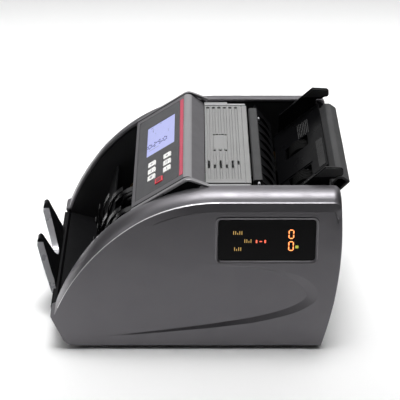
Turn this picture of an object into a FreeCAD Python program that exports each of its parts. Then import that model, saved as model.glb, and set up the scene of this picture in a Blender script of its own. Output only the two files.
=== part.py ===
import FreeCAD, Part
import math
import os

import Sketcher

# Banknote counting machine. Millimetres, +Z up, standing on z = 0.
# The operator faces +Y: the stacker is at -Y, the hopper at +Y, the side display on the +X side.

VALUES = {
    # casing
    "half_width": 123.0, "rim_inner": 98.0, "rim_flat": 108.0, "wall": 2.5, "wide": 97.6,
    "base_low": 3.9, "rim_top": 170.0, "crease_top": 162.2, "flat_front": 28.0,
    "top_radius": 145.0, "front_radius": 213.0, "shoulder_angle": 36.7, "corner_radius": 8.0,
    "nose_y": -135.2, "nose_top": 38.3, "nose_low": 32.8, "rear_low_y": 129.0, "rear_y": 143.4,
    "bow_radius": 421.0, "nose_radius": 13.0, "tray_flange": 14.0, "screw_radius": 3.0, "tie_radius": 4.0,
    # side frames and shafts
    "frame_x": 98.3, "frame_thick": 2.0, "shaft_radius": 4.0, "bearing_radius": 8.0,
    "shaft_end": 117.6, "shaft_right": 102.4, "clearance": 0.05, "gap": 0.4,
    "feed_y": 93.0, "feed_z": 100.7, "feed_radius": 24.0,
    "pickup_y": 116.3, "pickup_z": 135.3, "pickup_radius": 14.0,
    "stack_y": -57.0, "stack_z": 64.0, "stack_radius": 42.0, "stack_x": 21.0, "stack_width": 10.0,
    "retard_y": 71.1, "retard_z": 126.1, "retard_radius": 9.0,
    "motor_y": 22.0, "motor_z": 42.0, "motor_radius": 18.0,
    "feed_pulley": 16.0, "pickup_pulley": 10.0, "stack_pulley": 14.0, "motor_pulley": 8.0,
    "belt_thick": 1.6, "belt_width": 6.0, "belt_near": 102.6, "belt_far": 110.0,
    # hopper
    "hopper_angle": 40.0, "plate_low_y": 87.5, "plate_low_z": 127.4, "plate_length": 60.0,
    "plate_thick": 2.5, "bar_y": 61.2, "bar_depth": 9.0, "bar_top": 167.0, "bar_half": 82.0,
    "guide_x": 90.4, "guide_thick": 2.4, "beam_half": 84.0,
    # vent cover and display unit
    "vent_y": 15.5, "vent_depth": 43.7, "vent_half": 88.6, "vent_top": 167.0, "flange_depth": 24.0,
    "panel_y": -55.5, "panel_z": 143.6, "panel_angle": 33.2, "panel_length": 64.4,
    "display_half": 95.5, "trim_width": 6.5, "display_back_y": 15.0, "display_back_z": 166.5,
    "bezel_half": 87.0, "bezel_low": 4.0, "bezel_high": 53.4, "bezel_thick": 2.0,
    "lcd_low_x": -63.0, "lcd_width": 67.6, "lcd_low": 14.4, "lcd_height": 33.7,
    "key_width": 10.4, "key_depth": 8.6, "key_proud": 1.8, "key_travel": 1.0,
    "stripe_low": 54.6, "stripe_depth": 4.2,
    # stacker
    "prong_root_half": 62.0, "prong_tip_half": 43.0, "notch_half": 34.0, "notch_low_z": 41.0,
    "plate_root_z": 25.0,
    # side display window, mains inlet
    "window_y": 25.6, "window_z": 98.3, "window_length": 95.8, "window_height": 47.4,
    "inlet_x": -76.0, "inlet_z": 24.0, "inlet_face_y": 134.4, "inlet_width": 52.0, "inlet_height": 30.0,
    "foot_radius": 8.0,
}


class Dim:
    """A size that carries its number together with the sheet expression that gives it."""

    def __init__(self, value, text):
        self.value = value
        self.text = text

    def __add__(self, other):
        return Dim(self.value + number(other), f"({self.text} + {words(other)})")

    def __radd__(self, other):
        return self + other

    def __sub__(self, other):
        return Dim(self.value - number(other), f"({self.text} - {words(other)})")

    def __rsub__(self, other):
        return Dim(number(other) - self.value, f"({words(other)} - {self.text})")

    def __mul__(self, other):
        return Dim(self.value * number(other), f"({self.text} * {words(other)})")

    def __rmul__(self, other):
        return self * other

    def __neg__(self):
        return self * -1.0


def number(size):
    return size.value if isinstance(size, Dim) else float(size)


def words(size):
    return size.text if isinstance(size, Dim) else f"({float(size)!r})"


def cosine(angle):
    return Dim(math.cos(math.radians(angle.value)), f"cos({angle.text} * 1deg)")


def sine(angle):
    return Dim(math.sin(math.radians(angle.value)), f"sin({angle.text} * 1deg)")


doc = FreeCAD.newDocument("note_counter")
sheet = doc.addObject("Spreadsheet::Sheet", "sizes")
for row, (alias, value) in enumerate(VALUES.items(), start=1):
    sheet.set(f"A{row}", alias)
    sheet.set(f"B{row}", str(value))
    sheet.setAlias(f"B{row}", alias)
doc.recompute()


class Sizes:
    """The sheet's cells as attributes, each one a Dim."""


d = Sizes()
for alias, value in VALUES.items():
    setattr(d, alias, Dim(value, f"sizes.{alias}"))

NONE = Dim(0.0, "0")

nodes = {}


# ---------------------------------------------------------------- helpers

def bind(thing, path, size):
    """Set a property from a size, and keep it tied to the sheet."""
    thing.setExpression(path, words(size))


def place(thing, x=0, y=0, z=0, axis=None, angle=0):
    turn = FreeCAD.Rotation(FreeCAD.Vector(*(axis or (1, 0, 0))), number(angle))
    thing.Placement = FreeCAD.Placement(FreeCAD.Vector(number(x), number(y), number(z)), turn)
    for path, size in (("x", x), ("y", y), ("z", z)):
        if isinstance(size, Dim):
            bind(thing, f"Placement.Base.{path}", size)
    if isinstance(angle, Dim):
        bind(thing, "Placement.Rotation.Angle", angle)
    return thing


def box(name, low, size, angle=0):
    """A box from its low corner and its size along X, Y and Z, turned about X by angle."""
    thing = doc.addObject("Part::Box", name)
    for path, length in zip(("Length", "Width", "Height"), size):
        bind(thing, path, length)
    return place(thing, *low, angle=angle)


def rod_x(name, radius, x, length, y, z):
    """A cylinder along +X that starts at x."""
    thing = doc.addObject("Part::Cylinder", name)
    bind(thing, "Radius", radius)
    bind(thing, "Height", length)
    return place(thing, x, y, z, axis=(0, 1, 0), angle=90)


def rod_z(name, radius, x, y, z, height):
    thing = doc.addObject("Part::Cylinder", name)
    bind(thing, "Radius", radius)
    bind(thing, "Height", height)
    return place(thing, x, y, z)


def rod_y(name, radius, x, y, z, length):
    """A cylinder along +Y that starts at y."""
    thing = doc.addObject("Part::Cylinder", name)
    bind(thing, "Radius", radius)
    bind(thing, "Height", length)
    return place(thing, x, y, z, axis=(1, 0, 0), angle=-90)


def cut(name, base, tools):
    tool = tools[0] if len(tools) == 1 else join(name + "_tools", tools)
    thing = doc.addObject("Part::Cut", name)
    thing.Base = base
    thing.Tool = tool
    return thing


def join(name, shapes):
    thing = doc.addObject("Part::MultiFuse", name)
    thing.Shapes = shapes
    return thing


def group(name, shapes):
    """Identical pieces that share one node as separate solids."""
    thing = doc.addObject("Part::Compound", name)
    thing.Links = shapes
    return thing


def mirror_x(name, source):
    thing = doc.addObject("Part::Mirroring", name)
    thing.Source = source
    thing.Normal = (1, 0, 0)
    thing.Base = (0, 0, 0)
    return thing


def node(label, thing):
    """Give a finished piece the label that names its file."""
    thing.Label = label
    nodes[label] = thing
    return thing


def arc_through(start, end, radius):
    """An arc from start to end that bulges to the right of the way from start to end."""
    chord = end - start
    half = chord.Length / 2
    rise = math.sqrt(max(radius * radius - half * half, 0.0))
    side = FreeCAD.Vector(chord.y, -chord.x, 0).normalize()
    centre = start + chord * 0.5 - side * rise
    middle = centre + side * radius
    return Part.Arc(start, middle, end)


def sketch(body, name, plane, outline, offset=0):
    """A closed sketch on an origin plane: points, and arcs as ("arc", radius) between points."""
    origin = [f for f in body.Origin.OriginFeatures if f.Role == plane][0]
    drawing = body.newObject("Sketcher::SketchObject", name)
    drawing.AttachmentSupport = [(origin, "")]
    drawing.MapMode = "FlatFace"
    if isinstance(offset, Dim):
        bind(drawing, "AttachmentOffset.Base.z", offset)
    points = []
    radii = []
    for item in outline:
        if item[0] == "arc":
            radii[-1] = item[1]
        else:
            points.append(item)
            radii.append(None)
    spots = [FreeCAD.Vector(number(u), number(v), 0) for u, v in points]
    count = len(spots)
    for i in range(count):
        start, end = spots[i], spots[(i + 1) % count]
        if radii[i] is None:
            drawing.addGeometry(Part.LineSegment(start, end), False)
        else:
            drawing.addGeometry(arc_through(start, end, number(radii[i])), False)
    # An arc that runs clockwise is stored the other way round, so its ends are looked up.
    ends = []
    for i in range(count):
        first = drawing.Geometry[i].StartPoint
        flipped = (first - spots[i]).Length > 1e-4
        ends.append((2, 1) if flipped else (1, 2))
    for i in range(count):
        follower = (i + 1) % count
        drawing.addConstraint(Sketcher.Constraint("Coincident", i, ends[i][1], follower, ends[follower][0]))
    for i, (u, v) in enumerate(points):
        for kind, size in (("DistanceX", u), ("DistanceY", v)):
            index = drawing.addConstraint(Sketcher.Constraint(kind, -1, 1, i, ends[i][0], number(size)))
            if isinstance(size, Dim):
                bind(drawing, f"Constraints[{index}]", size)
        if radii[i] is not None:
            index = drawing.addConstraint(Sketcher.Constraint("Radius", i, number(radii[i])))
            if isinstance(radii[i], Dim):
                bind(drawing, f"Constraints[{index}]", radii[i])
    return drawing


def prism(name, plane, outline, start, length):
    """A PartDesign body: one sketch padded by length, moved along the plane's normal to start."""
    body = doc.addObject("PartDesign::Body", name)
    drawing = sketch(body, name + "_outline", plane, outline)
    pad = body.newObject("PartDesign::Pad", name + "_pad")
    pad.Profile = drawing
    bind(pad, "Length", length)
    if plane == "YZ_Plane":
        return place(body, x=start)
    if plane == "XZ_Plane":
        pad.Reversed = True
        return place(body, y=start)
    return place(body, z=start)


def slab(start, end, thick):
    """The outline of a flat strip from start to end, its thickness on the right of that way."""
    du = number(end[0]) - number(start[0])
    dv = number(end[1]) - number(start[1])
    run = math.hypot(du, dv)
    shift_u = number(thick) * dv / run
    shift_v = -number(thick) * du / run
    return [start, end, (end[0] + shift_u, end[1] + shift_v), (start[0] + shift_u, start[1] + shift_v)]


def along_hopper(distance, depth=0):
    """A point on the hopper plate: distance up from its low end, depth below its face."""
    y = d.plane_origin[0] + cosine(d.hopper_angle) * distance + sine(d.hopper_angle) * depth
    z = d.plane_origin[1] + sine(d.hopper_angle) * distance - cosine(d.hopper_angle) * depth
    return y, z


def on_panel(distance, height):
    """A point on the display panel: distance up the slope from its front edge, height above it."""
    y = d.panel_y + cosine(d.panel_angle) * distance - sine(d.panel_angle) * height
    z = d.panel_z + sine(d.panel_angle) * distance + cosine(d.panel_angle) * height
    return y, z


d.plane_origin = (d.plate_low_y, d.plate_low_z)


# ---------------------------------------------------------------- casing

RIM_FOOT = (-132.8, 42.2)
CREASE_FOOT = (-131.2, 39.9)


def side_outline(top, inset, foot=RIM_FOOT):
    """The outline of a side cover, seen along X, with its roof at top, and drawn in by inset."""
    lean_y = sine(d.shoulder_angle)
    lean_z = cosine(d.shoulder_angle)
    arch = d.top_radius - inset
    shoulder_y = d.flat_front - arch * lean_y
    shoulder_z = top - d.top_radius + arch * lean_z
    return [
        (-115.9 + inset * 0.4, d.base_low + inset),
        (d.rear_low_y - inset, d.base_low + inset),
        ("arc", d.bow_radius - inset),
        (d.rear_y - inset, top - d.corner_radius),
        ("arc", d.corner_radius - inset),
        (d.rear_y - d.corner_radius, top - inset),
        (d.flat_front, top - inset),
        ("arc", arch),
        (shoulder_y, shoulder_z),
        ("arc", d.front_radius - inset),
        (foot[0] + inset * 0.9, foot[1] - inset * 0.3),
        (d.nose_y + inset, d.nose_top - inset * 0.4),
        (d.nose_y + 1.5 + inset, d.nose_low + inset * 0.1),
        (-125.1 + inset * 0.9, 13.1 + inset * 0.5),
        ("arc", d.nose_radius - inset),
    ]


def cover_shell():
    """One side cover: a tray, open towards the middle, whose rim slopes out to the crease."""
    body = doc.addObject("PartDesign::Body", "cover_shell")
    flat = d.rim_flat - d.rim_inner
    full = d.half_width - d.rim_inner
    rim = sketch(body, "rim_outline", "YZ_Plane", side_outline(d.rim_top, NONE))
    pad = body.newObject("PartDesign::Pad", "rim_pad")
    pad.Profile = rim
    bind(pad, "Length", flat)
    slope_start = sketch(body, "slope_start", "YZ_Plane", side_outline(d.rim_top, NONE), flat)
    slope_end = sketch(body, "slope_end", "YZ_Plane",
                       side_outline(d.crease_top, NONE, CREASE_FOOT), full)
    slope = body.newObject("PartDesign::AdditiveLoft", "slope")
    slope.Profile = slope_start
    slope.Sections = [slope_end]
    slope.Ruled = True
    hollow = sketch(body, "hollow_outline", "YZ_Plane", side_outline(d.rim_top, d.wall))
    pocket = body.newObject("PartDesign::Pocket", "hollow_pocket")
    pocket.Profile = hollow
    pocket.Reversed = True
    bind(pocket, "Length", flat)
    inner_start = sketch(body, "inner_start", "YZ_Plane", side_outline(d.rim_top, d.wall), flat)
    inner_end = sketch(body, "inner_end", "YZ_Plane",
                       side_outline(d.crease_top, d.wall, CREASE_FOOT), full - d.wall)
    scoop = body.newObject("PartDesign::SubtractiveLoft", "scoop")
    scoop.Profile = inner_start
    scoop.Sections = [inner_end]
    scoop.Ruled = True
    return place(body, x=d.rim_inner)


def side_covers():
    shell = cover_shell()
    opening = box("window_opening",
                  (d.half_width - 6.0, d.window_y, d.window_z), (12.0, d.window_length, d.window_height))
    node("side_cover_right", cut("side_cover_right", shell, [opening]))
    node("side_cover_left", mirror_x("side_cover_left", shell))


SHAFTS = [("feed_y", "feed_z"), ("pickup_y", "pickup_z"), ("stack_y", "stack_z")]
FEET = [(85, -98), (-85, -98), (85, 112), (-85, 112)]
BASE_SCREWS = [(75, -30), (75, 40), (-75, -30), (-75, 40)]
REAR_SCREWS = [(88, 24), (-88, 24), (88, 140), (-88, 140)]
TRAY_FRONT, TRAY_LENGTH = -112.0, 238.0


def side_frames():
    """Steel plates that carry the shafts. The hopper end is cut lower than the rim."""
    outline = side_outline(d.rim_top, Dim(4.0, "4"))
    plate = prism("frame_plate", "YZ_Plane", outline, d.frame_x, d.frame_thick)
    seats = []
    for i, (y, z) in enumerate(SHAFTS):
        seats.append(rod_x(f"bearing_seat_{i}", d.bearing_radius, d.frame_x - 1, d.frame_thick + 2,
                           getattr(d, y), getattr(d, z)))
    bore = rod_x("motor_boss_hole", d.shaft_radius + 1.5, d.frame_x - 1, d.frame_thick + 2,
                 d.motor_y, d.motor_z)
    drilled = cut("frame_drilled", plate, seats + [bore])
    node("side_frame_right", drilled)
    node("side_frame_left", mirror_x("side_frame_left", drilled))


def cross_ties():
    length = d.frame_x * 2
    spots = [(-114.0, 22.1), (50.0, 22.5), (128.0, 62.0), (32.0, 146.5)]
    ties = [rod_x(f"tie_{i}", d.tie_radius, -d.frame_x, length, y, z) for i, (y, z) in enumerate(spots)]
    node("cross_ties", group("cross_ties", ties))


def base_tray():
    floor = box("tray_floor", (-d.wide, TRAY_FRONT, d.base_low), (d.wide * 2, TRAY_LENGTH, d.wall))
    flanges = [
        box("tray_flange_right", (d.wide - 2.0, TRAY_FRONT, d.base_low), (2.0, TRAY_LENGTH, d.tray_flange)),
        box("tray_flange_left", (-d.wide, TRAY_FRONT, d.base_low), (2.0, TRAY_LENGTH, d.tray_flange)),
    ]
    bosses = [rod_z(f"tray_boss_{i}", d.screw_radius + 2.0, x, y, d.base_low, 9.0)
              for i, (x, y) in enumerate(BASE_SCREWS)]
    node("base_tray", join("base_tray", [floor] + flanges + bosses))


def rubber_feet():
    feet = []
    for i, (x, y) in enumerate(FEET):
        feet.append(rod_z(f"foot_{i}", d.foot_radius, x, y, 0, d.base_low))
    node("rubber_feet", group("rubber_feet", feet))


def front_lower_cover():
    """The dark lip below the stacker, bent like the nose of the side covers, fuller beside the plate."""
    outline = [
        (-134.2, 36.0), (-131.7, 36.0), (-131.0, 32.8), (-122.8, 14.5), (-114.5, 6.6), (-112.2, 6.6),
        (-112.2, 4.1), (-115.9, 4.1), (-124.9, 13.1), (-133.5, 32.8),
    ]
    outline.reverse()
    lip = prism("front_lip", "YZ_Plane", outline, -d.wide, d.wide * 2)
    brow = [(-132.4, 35.0), (-136.8, 35.0), (-136.6, 30.4), (-130.6, 26.6)]
    inner = d.prong_root_half + 2.0
    right = prism("front_brow_right", "YZ_Plane", brow, inner, d.wide - inner)
    left = prism("front_brow_left", "YZ_Plane", brow, -d.wide, d.wide - inner)
    node("front_lower_cover", join("front_lower_cover", [lip, right, left]))


def rear_cover():
    outer = [
        (129.2, 6.6), ("arc", d.bow_radius), (d.rear_y - 0.2, 156.0), (d.rear_y - 2.7, 156.0),
        (d.rear_y - 2.9, 146.0), (139.9, 78.0), (126.6, 6.6),
    ]
    shell = prism("rear_shell", "YZ_Plane", outer, -d.wide, d.wide * 2)
    opening = box("inlet_opening", (d.inlet_x, 120.0, d.inlet_z), (d.inlet_width, 30.0, d.inlet_height))
    node("rear_cover", cut("rear_cover", shell, [opening]))


# ---------------------------------------------------------------- hopper

def hopper_plate():
    """The inclined plate that the notes lie on, slotted where the pick-up rollers come through."""
    start = along_hopper(0)
    end = along_hopper(d.plate_length)
    plate = prism("hopper_sheet", "YZ_Plane", slab(start, end, d.plate_thick), -d.wide, d.wide * 2)
    slots = []
    for i, x in enumerate((-46.0, 22.0)):
        slots.append(box(f"pickup_slot_{i}", (x, 100.0, 120.0), (24.0, 34.0, 45.0)))
    node("hopper_plate", cut("hopper_plate", plate, slots))


def hopper_front_wall():
    """The dark bar across the hopper's mouth and the ribbed wall that runs down from it."""
    bar = box("front_bar", (-d.bar_half, d.bar_y, d.bar_top - 7.0), (d.bar_half * 2, d.bar_depth, 7.0))
    wall = prism("ribbed_wall", "YZ_Plane", slab((86.0, 141.0), (69.0, 163.5), -2.5), -d.wide, d.wide * 2)
    ribs = [prism(f"rib_{i}", "YZ_Plane", slab((86.0, 141.0), (71.0, 160.8), 1.2), -76.9 + 19.0 * i, 1.8)
            for i in range(9)]
    node("hopper_front_wall", join("hopper_front_wall", [bar, wall] + ribs))


def rear_beam():
    """The channel across the back of the hopper that the guides hook over."""
    outer = prism("beam_outer", "YZ_Plane",
                  [(141.0, 171.5), (134.0, 162.0), (144.0, 155.9), (153.2, 166.0)],
                  -d.beam_half, d.beam_half * 2)
    inner = prism("beam_inner", "YZ_Plane",
                  [(141.6, 168.6), (136.9, 162.3), (143.6, 158.6), (150.0, 165.5)],
                  -d.beam_half - 1, d.beam_half * 2 + 2)
    node("rear_beam", cut("rear_beam", outer, [inner]))


def hopper_guides():
    """The two side guides: thin plates, each hooked over the rear beam."""
    outline = [
        (94.0, 134.1), (133.2, 167.0), (133.2, 173.2), (138.2, 173.2), (140.6, 175.4), (144.8, 176.2),
        (145.9, 178.6), (145.6, 183.6), (143.4, 185.2), (128.4, 186.0), (94.0, 154.2),
    ]
    guide = prism("guide_right_plate", "YZ_Plane", outline, d.guide_x, d.guide_thick)
    node("hopper_guide_right", guide)
    node("hopper_guide_left", mirror_x("hopper_guide_left", guide))


# ---------------------------------------------------------------- top: vent cover and display unit

def vent_cover():
    roof = box("vent_roof", (-d.vent_half, d.vent_y, d.vent_top - 3.0),
               (d.vent_half * 2, d.vent_depth, 3.0))
    flange = box("vent_flange", (-d.wide, d.vent_y, d.vent_top - 3.0), (d.wide * 2, d.flange_depth, 3.0))
    slots = []
    for i in range(7):
        y = d.vent_y + 3.2 + 5.6 * i
        slots.append(box(f"vent_slot_right_{i}", (24.0, y, 160.0), (34.0, 1.6, 12.0)))
        slots.append(box(f"vent_slot_left_{i}", (-58.0, y, 160.0), (34.0, 1.6, 12.0)))
    node("vent_cover", cut("vent_cover", join("vent_body", [roof, flange]), slots))


def display_profile(inset):
    """The roof-shaped section of the display unit: front slope, ridge, back slope, flat underside."""
    return [
        (d.display_back_y - inset, 150.0 + inset),
        (d.display_back_y - inset, d.display_back_z - inset * 0.6),
        on_panel(d.panel_length, -inset),
        on_panel(inset, -inset),
        on_panel(inset, -7.0 - inset * 0.2),
        (-30.0, 150.0 + inset),
    ]


def display_unit():
    inside = d.display_half - 2.5
    housing = prism("display_outer", "YZ_Plane", display_profile(NONE),
                    -d.display_half, d.display_half * 2)
    hollow = prism("display_hollow", "YZ_Plane",
                   [(12.0, 140.0), (12.0, 165.0), (-3.0, 174.5), (-48.0, 145.0), (-48.0, 140.0)],
                   -inside, inside * 2)
    low_y, low_z = on_panel(d.bezel_low, -d.bezel_thick)
    recess = box("bezel_recess", (-d.bezel_half, low_y, low_z),
                 (d.bezel_half * 2, d.bezel_high - d.bezel_low, 12.0), d.panel_angle)
    well_y, well_z = on_panel(9.0, -12.0)
    well = box("board_well", (-84.0, well_y, well_z), (168.0, 42.0, 20.0), d.panel_angle)
    groove_y, groove_z = on_panel(d.stripe_low, -1.0)
    groove = box("stripe_groove", (-d.bezel_half, groove_y, groove_z),
                 (d.bezel_half * 2, d.stripe_depth, 6.0), d.panel_angle)
    node("display_housing", cut("display_housing", housing, [hollow, recess, well, groove]))
    trim = prism("trim_right", "YZ_Plane", display_profile(NONE), d.display_half, d.trim_width)
    rim_clear = prism("trim_rim_clear", "YZ_Plane", side_outline(d.rim_top + 0.3, NONE),
                      d.rim_inner - 0.4, 30.0)
    right = cut("display_trim_right", trim, [rim_clear])
    node("display_trim_right", right)
    node("display_trim_left", mirror_x("display_trim_left", right))
    stripe = box("display_stripe", (-d.bezel_half, groove_y, groove_z),
                 (d.bezel_half * 2, d.stripe_depth, 1.5), d.panel_angle)
    node("display_stripe", stripe)


KEY_ROWS = {"front": 18.0, "rear": 36.0}
KEY_COLUMNS = (22.4, 37.2, 51.4)


def key_places():
    """Every key as (label, low x, low distance up the panel)."""
    places = []
    for row, distance in KEY_ROWS.items():
        for i, x in enumerate(KEY_COLUMNS, start=1):
            places.append((f"key_{row}_{i}", x, distance))
    places.append(("key_reset", 65.6, 27.0))
    return places


def bezel():
    low_y, low_z = on_panel(d.bezel_low, -d.bezel_thick)
    panel = box("bezel_panel", (-d.bezel_half, low_y, low_z),
                (d.bezel_half * 2, d.bezel_high - d.bezel_low, d.bezel_thick), d.panel_angle)
    y, z = on_panel(d.lcd_low, -d.bezel_thick - 1)
    holes = [box("lcd_hole", (d.lcd_low_x, y, z), (d.lcd_width, d.lcd_height, 6.0), d.panel_angle)]
    for label, x, distance in key_places():
        y, z = on_panel(distance - d.gap, -d.bezel_thick - 1)
        holes.append(box(label + "_hole", (x - d.gap, y, z),
                         (d.key_width + d.gap * 2, d.key_depth + d.gap * 2, 6.0), d.panel_angle))
    node("display_bezel", cut("display_bezel", panel, holes))
    y, z = on_panel(d.lcd_low, -d.bezel_thick)
    node("lcd_lens", box("lcd_lens", (d.lcd_low_x, y, z),
                         (d.lcd_width, d.lcd_height, d.bezel_thick - 0.3), d.panel_angle))
    y, z = on_panel(11.0, -9.6)
    board = box("display_board", (-82.0, y, z), (164.0, 38.0, 1.6), d.panel_angle)
    y, z = on_panel(d.lcd_low - 2.0, -8.0)
    glass = box("lcd_cell", (d.lcd_low_x - 3.0, y, z), (d.lcd_width + 6.0, d.lcd_height + 2.0, 5.6),
                d.panel_angle)
    switches = []
    for label, x, distance in key_places():
        y, z = on_panel(distance + 1.8, -8.0)
        switches.append(box(label + "_switch", (x + 2.7, y, z), (5.0, 5.0, 1.5), d.panel_angle))
    node("display_board", join("display_board", [board, glass] + switches))


def keys():
    """Each key is a cap with a flange under the bezel and a stem over its switch."""
    for label, x, distance in key_places():
        y, z = on_panel(distance, -d.bezel_thick - 0.6)
        cap = box(label + "_cap", (x, y, z),
                  (d.key_width, d.key_depth, d.bezel_thick + d.key_proud + 0.6), d.panel_angle)
        y, z = on_panel(distance - 1.0, -d.bezel_thick - 1.8)
        flange = box(label + "_flange", (x - 1.0, y, z), (d.key_width + 2.0, d.key_depth + 2.0, 1.4),
                     d.panel_angle)
        y, z = on_panel(distance + 2.8, -5.0)
        stem = box(label + "_stem", (x + 3.7, y, z), (3.0, 3.0, 2.0), d.panel_angle)
        node(label, join(label, [cap, flange, stem]))


# ---------------------------------------------------------------- stacker and note path

def stacker_plate():
    """The two-pronged catch plate: a leaning section met with the pronged outline."""
    section = prism("prong_section", "YZ_Plane", [
        (-132.4, d.plate_root_z + 1.0), (-139.0, d.plate_root_z + 3.0), (-153.4, 73.5), (-152.6, 78.5),
        (-149.6, 81.6), (-148.0, 80.4), (-138.6, 47.0), (-135.6, 40.0), (-135.6, 36.0),
    ][::-1], -70.0, 140.0)
    outline = [
        (-d.prong_root_half, 20.0), (d.prong_root_half, 20.0), (d.prong_root_half - 1.0, 34.0),
        (d.prong_tip_half, 76.0), (d.prong_tip_half - 3.0, 84.0), (d.notch_half + 1.5, 84.0),
        (d.notch_half - 2.0, 76.0), (8.0, d.notch_low_z + 5.0), (4.0, d.notch_low_z),
        (-4.0, d.notch_low_z), (-8.0, d.notch_low_z + 5.0), (2.0 - d.notch_half, 76.0),
        (-1.5 - d.notch_half, 84.0), (3.0 - d.prong_tip_half, 84.0), (-d.prong_tip_half, 76.0),
        (1.0 - d.prong_root_half, 34.0),
    ]
    silhouette = prism("prong_silhouette", "XZ_Plane", outline, -170.0, 60.0)
    common = doc.addObject("Part::Common", "stacker_plate")
    common.Base = section
    common.Tool = silhouette
    node("stacker_plate", common)


def stacker_floor():
    """The black floor of the pocket and the slotted back plate that strips the notes."""
    floor = prism("pocket_floor", "YZ_Plane", slab((-130.0, 33.0), (-100.0, 24.0), -2.0),
                  -d.wide, d.wide * 2)
    back = prism("pocket_back", "YZ_Plane", slab((-101.5, 22.4), (-78.0, 92.0), 2.0), -d.wide, d.wide * 2)
    slots = []
    for side in (-1, 1):
        low = d.stack_x * side - d.stack_width * 0.5 - 2.0
        slots.append(box(f"wheel_slot_{side}", (low, -110.0, 18.0), (d.stack_width + 4.0, 40.0, 80.0)))
    node("stacker_floor", cut("stacker_floor", join("pocket", [floor, back]), slots))


def chutes():
    """The note path from the feed rollers down to the stacker wheels."""
    lower = slab((-4.0, 76.6), (63.0, 104.2), 1.6)
    node("lower_chute", prism("lower_chute", "YZ_Plane", lower, -d.wide, d.wide * 2))
    upper = slab((-6.5, 83.4), (57.0, 109.6), -1.6)
    node("upper_chute", prism("upper_chute", "YZ_Plane", upper, -d.wide, d.wide * 2))
    board = slab((8.0, 91.5), (34.0, 102.2), -1.6)
    node("sensor_board", prism("sensor_board", "YZ_Plane", board, -70.0, 140.0))
    node("uv_lamp", rod_x("uv_lamp", 3.0, -62.0, 124.0, 46.0, 112.0))


def retard():
    """The fixed friction roller that lets only one note through, and its sprung bracket."""
    node("retard_roller", rod_x("retard_roller", d.retard_radius, -19.0, 38.0, d.retard_y, d.retard_z))
    top = box("bracket_top", (-26.0, 26.0, 138.6), (52.0, 50.0, 3.0))
    cheeks = [box(f"bracket_cheek_{x}", (x, 65.0, 121.0), (3.0, 11.0, 20.0)) for x in (-25.0, 22.0)]
    pin = rod_x("retard_pin", 2.5, -26.0, 52.0, d.retard_y, d.retard_z)
    hole = rod_z("gap_screw_hole", 3.0, 0.0, 46.0, 130.0, 15.0)
    solid = join("bracket_solid", [top] + cheeks + [pin])
    room = rod_x("roller_room", d.retard_radius, -19.0, 38.0, d.retard_y, d.retard_z)
    node("retard_bracket", cut("retard_bracket", solid, [hole, room]))
    stem = rod_z("gap_screw_stem", 2.95, 0.0, 46.0, 130.0, 24.0)
    head = rod_z("gap_screw_head", 7.0, 0.0, 46.0, 154.0, 7.0)
    node("gap_screw", join("gap_screw", [stem, head]))


# ---------------------------------------------------------------- rotating parts

def shaft(label, y, z, left, right):
    node(label, rod_x(label, d.shaft_radius, -left, left + right, y, z))


def tyre_rollers(label, radius, low_x, width, y, z):
    """A pair of equal rollers on one shaft, low_x out from the middle."""
    pair = []
    for side, start in (("right", low_x), ("left", -low_x - width)):
        wheel = rod_x(f"{label}_{side}_disc", radius, start, width, y, z)
        bore = rod_x(f"{label}_{side}_bore", d.shaft_radius, start - 1.0, width + 2.0, y, z)
        pair.append(cut(f"{label}_{side}", wheel, [bore]))
    node(label, group(label, pair))


def stacker_wheel(label, centre_x):
    """An impeller: a hub with curved blades, made as one moulding."""
    y, z = d.stack_y.value, d.stack_z.value
    width = d.stack_width.value
    tip = d.stack_radius.value
    hub = Part.makeCylinder(12.0, width, FreeCAD.Vector(0, 0, 0), FreeCAD.Vector(1, 0, 0))
    blades = []
    count = 12
    for i in range(count):
        turn = 360.0 / count * i
        inner = [FreeCAD.Vector(0, 10.0, 0), FreeCAD.Vector(0, 25.0, 6.5), FreeCAD.Vector(0, 33.5, 25.2)]
        outer = [FreeCAD.Vector(0, 34.6, 23.8), FreeCAD.Vector(0, 26.6, 5.2), FreeCAD.Vector(0, 10.0, -1.6)]
        wire = Part.Wire([
            Part.Arc(*inner).toShape(), Part.LineSegment(inner[2], outer[0]).toShape(),
            Part.Arc(*outer).toShape(), Part.LineSegment(outer[2], inner[0]).toShape(),
        ])
        blade = Part.Face(wire).extrude(FreeCAD.Vector(width, 0, 0))
        blade.rotate(FreeCAD.Vector(0, 0, 0), FreeCAD.Vector(1, 0, 0), turn)
        blades.append(blade)
    rim_room = Part.makeCylinder(tip, width, FreeCAD.Vector(0, 0, 0), FreeCAD.Vector(1, 0, 0))
    solid = hub.fuse(blades).common(rim_room)
    bore = Part.makeCylinder(
        d.shaft_radius.value, width + 2, FreeCAD.Vector(-1, 0, 0), FreeCAD.Vector(1, 0, 0))
    wheel = doc.addObject("Part::Feature", label)
    wheel.Shape = solid.cut(bore).removeSplitter()
    wheel.Placement = FreeCAD.Placement(FreeCAD.Vector(centre_x - width / 2, y, z), FreeCAD.Rotation())
    node(label, wheel)


def pulley(label, radius, near, y, z, shaft_radius):
    """A flat belt pulley on the left end of a shaft, between two thin flanges."""
    drum = rod_x(label + "_drum", radius, -near - d.belt_width - 1.0, d.belt_width + 2.0, y, z)
    bore = rod_x(label + "_bore", shaft_radius, -near - d.belt_width - 2.0, d.belt_width + 4.0, y, z)
    return cut(label, drum, [bore])


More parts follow.
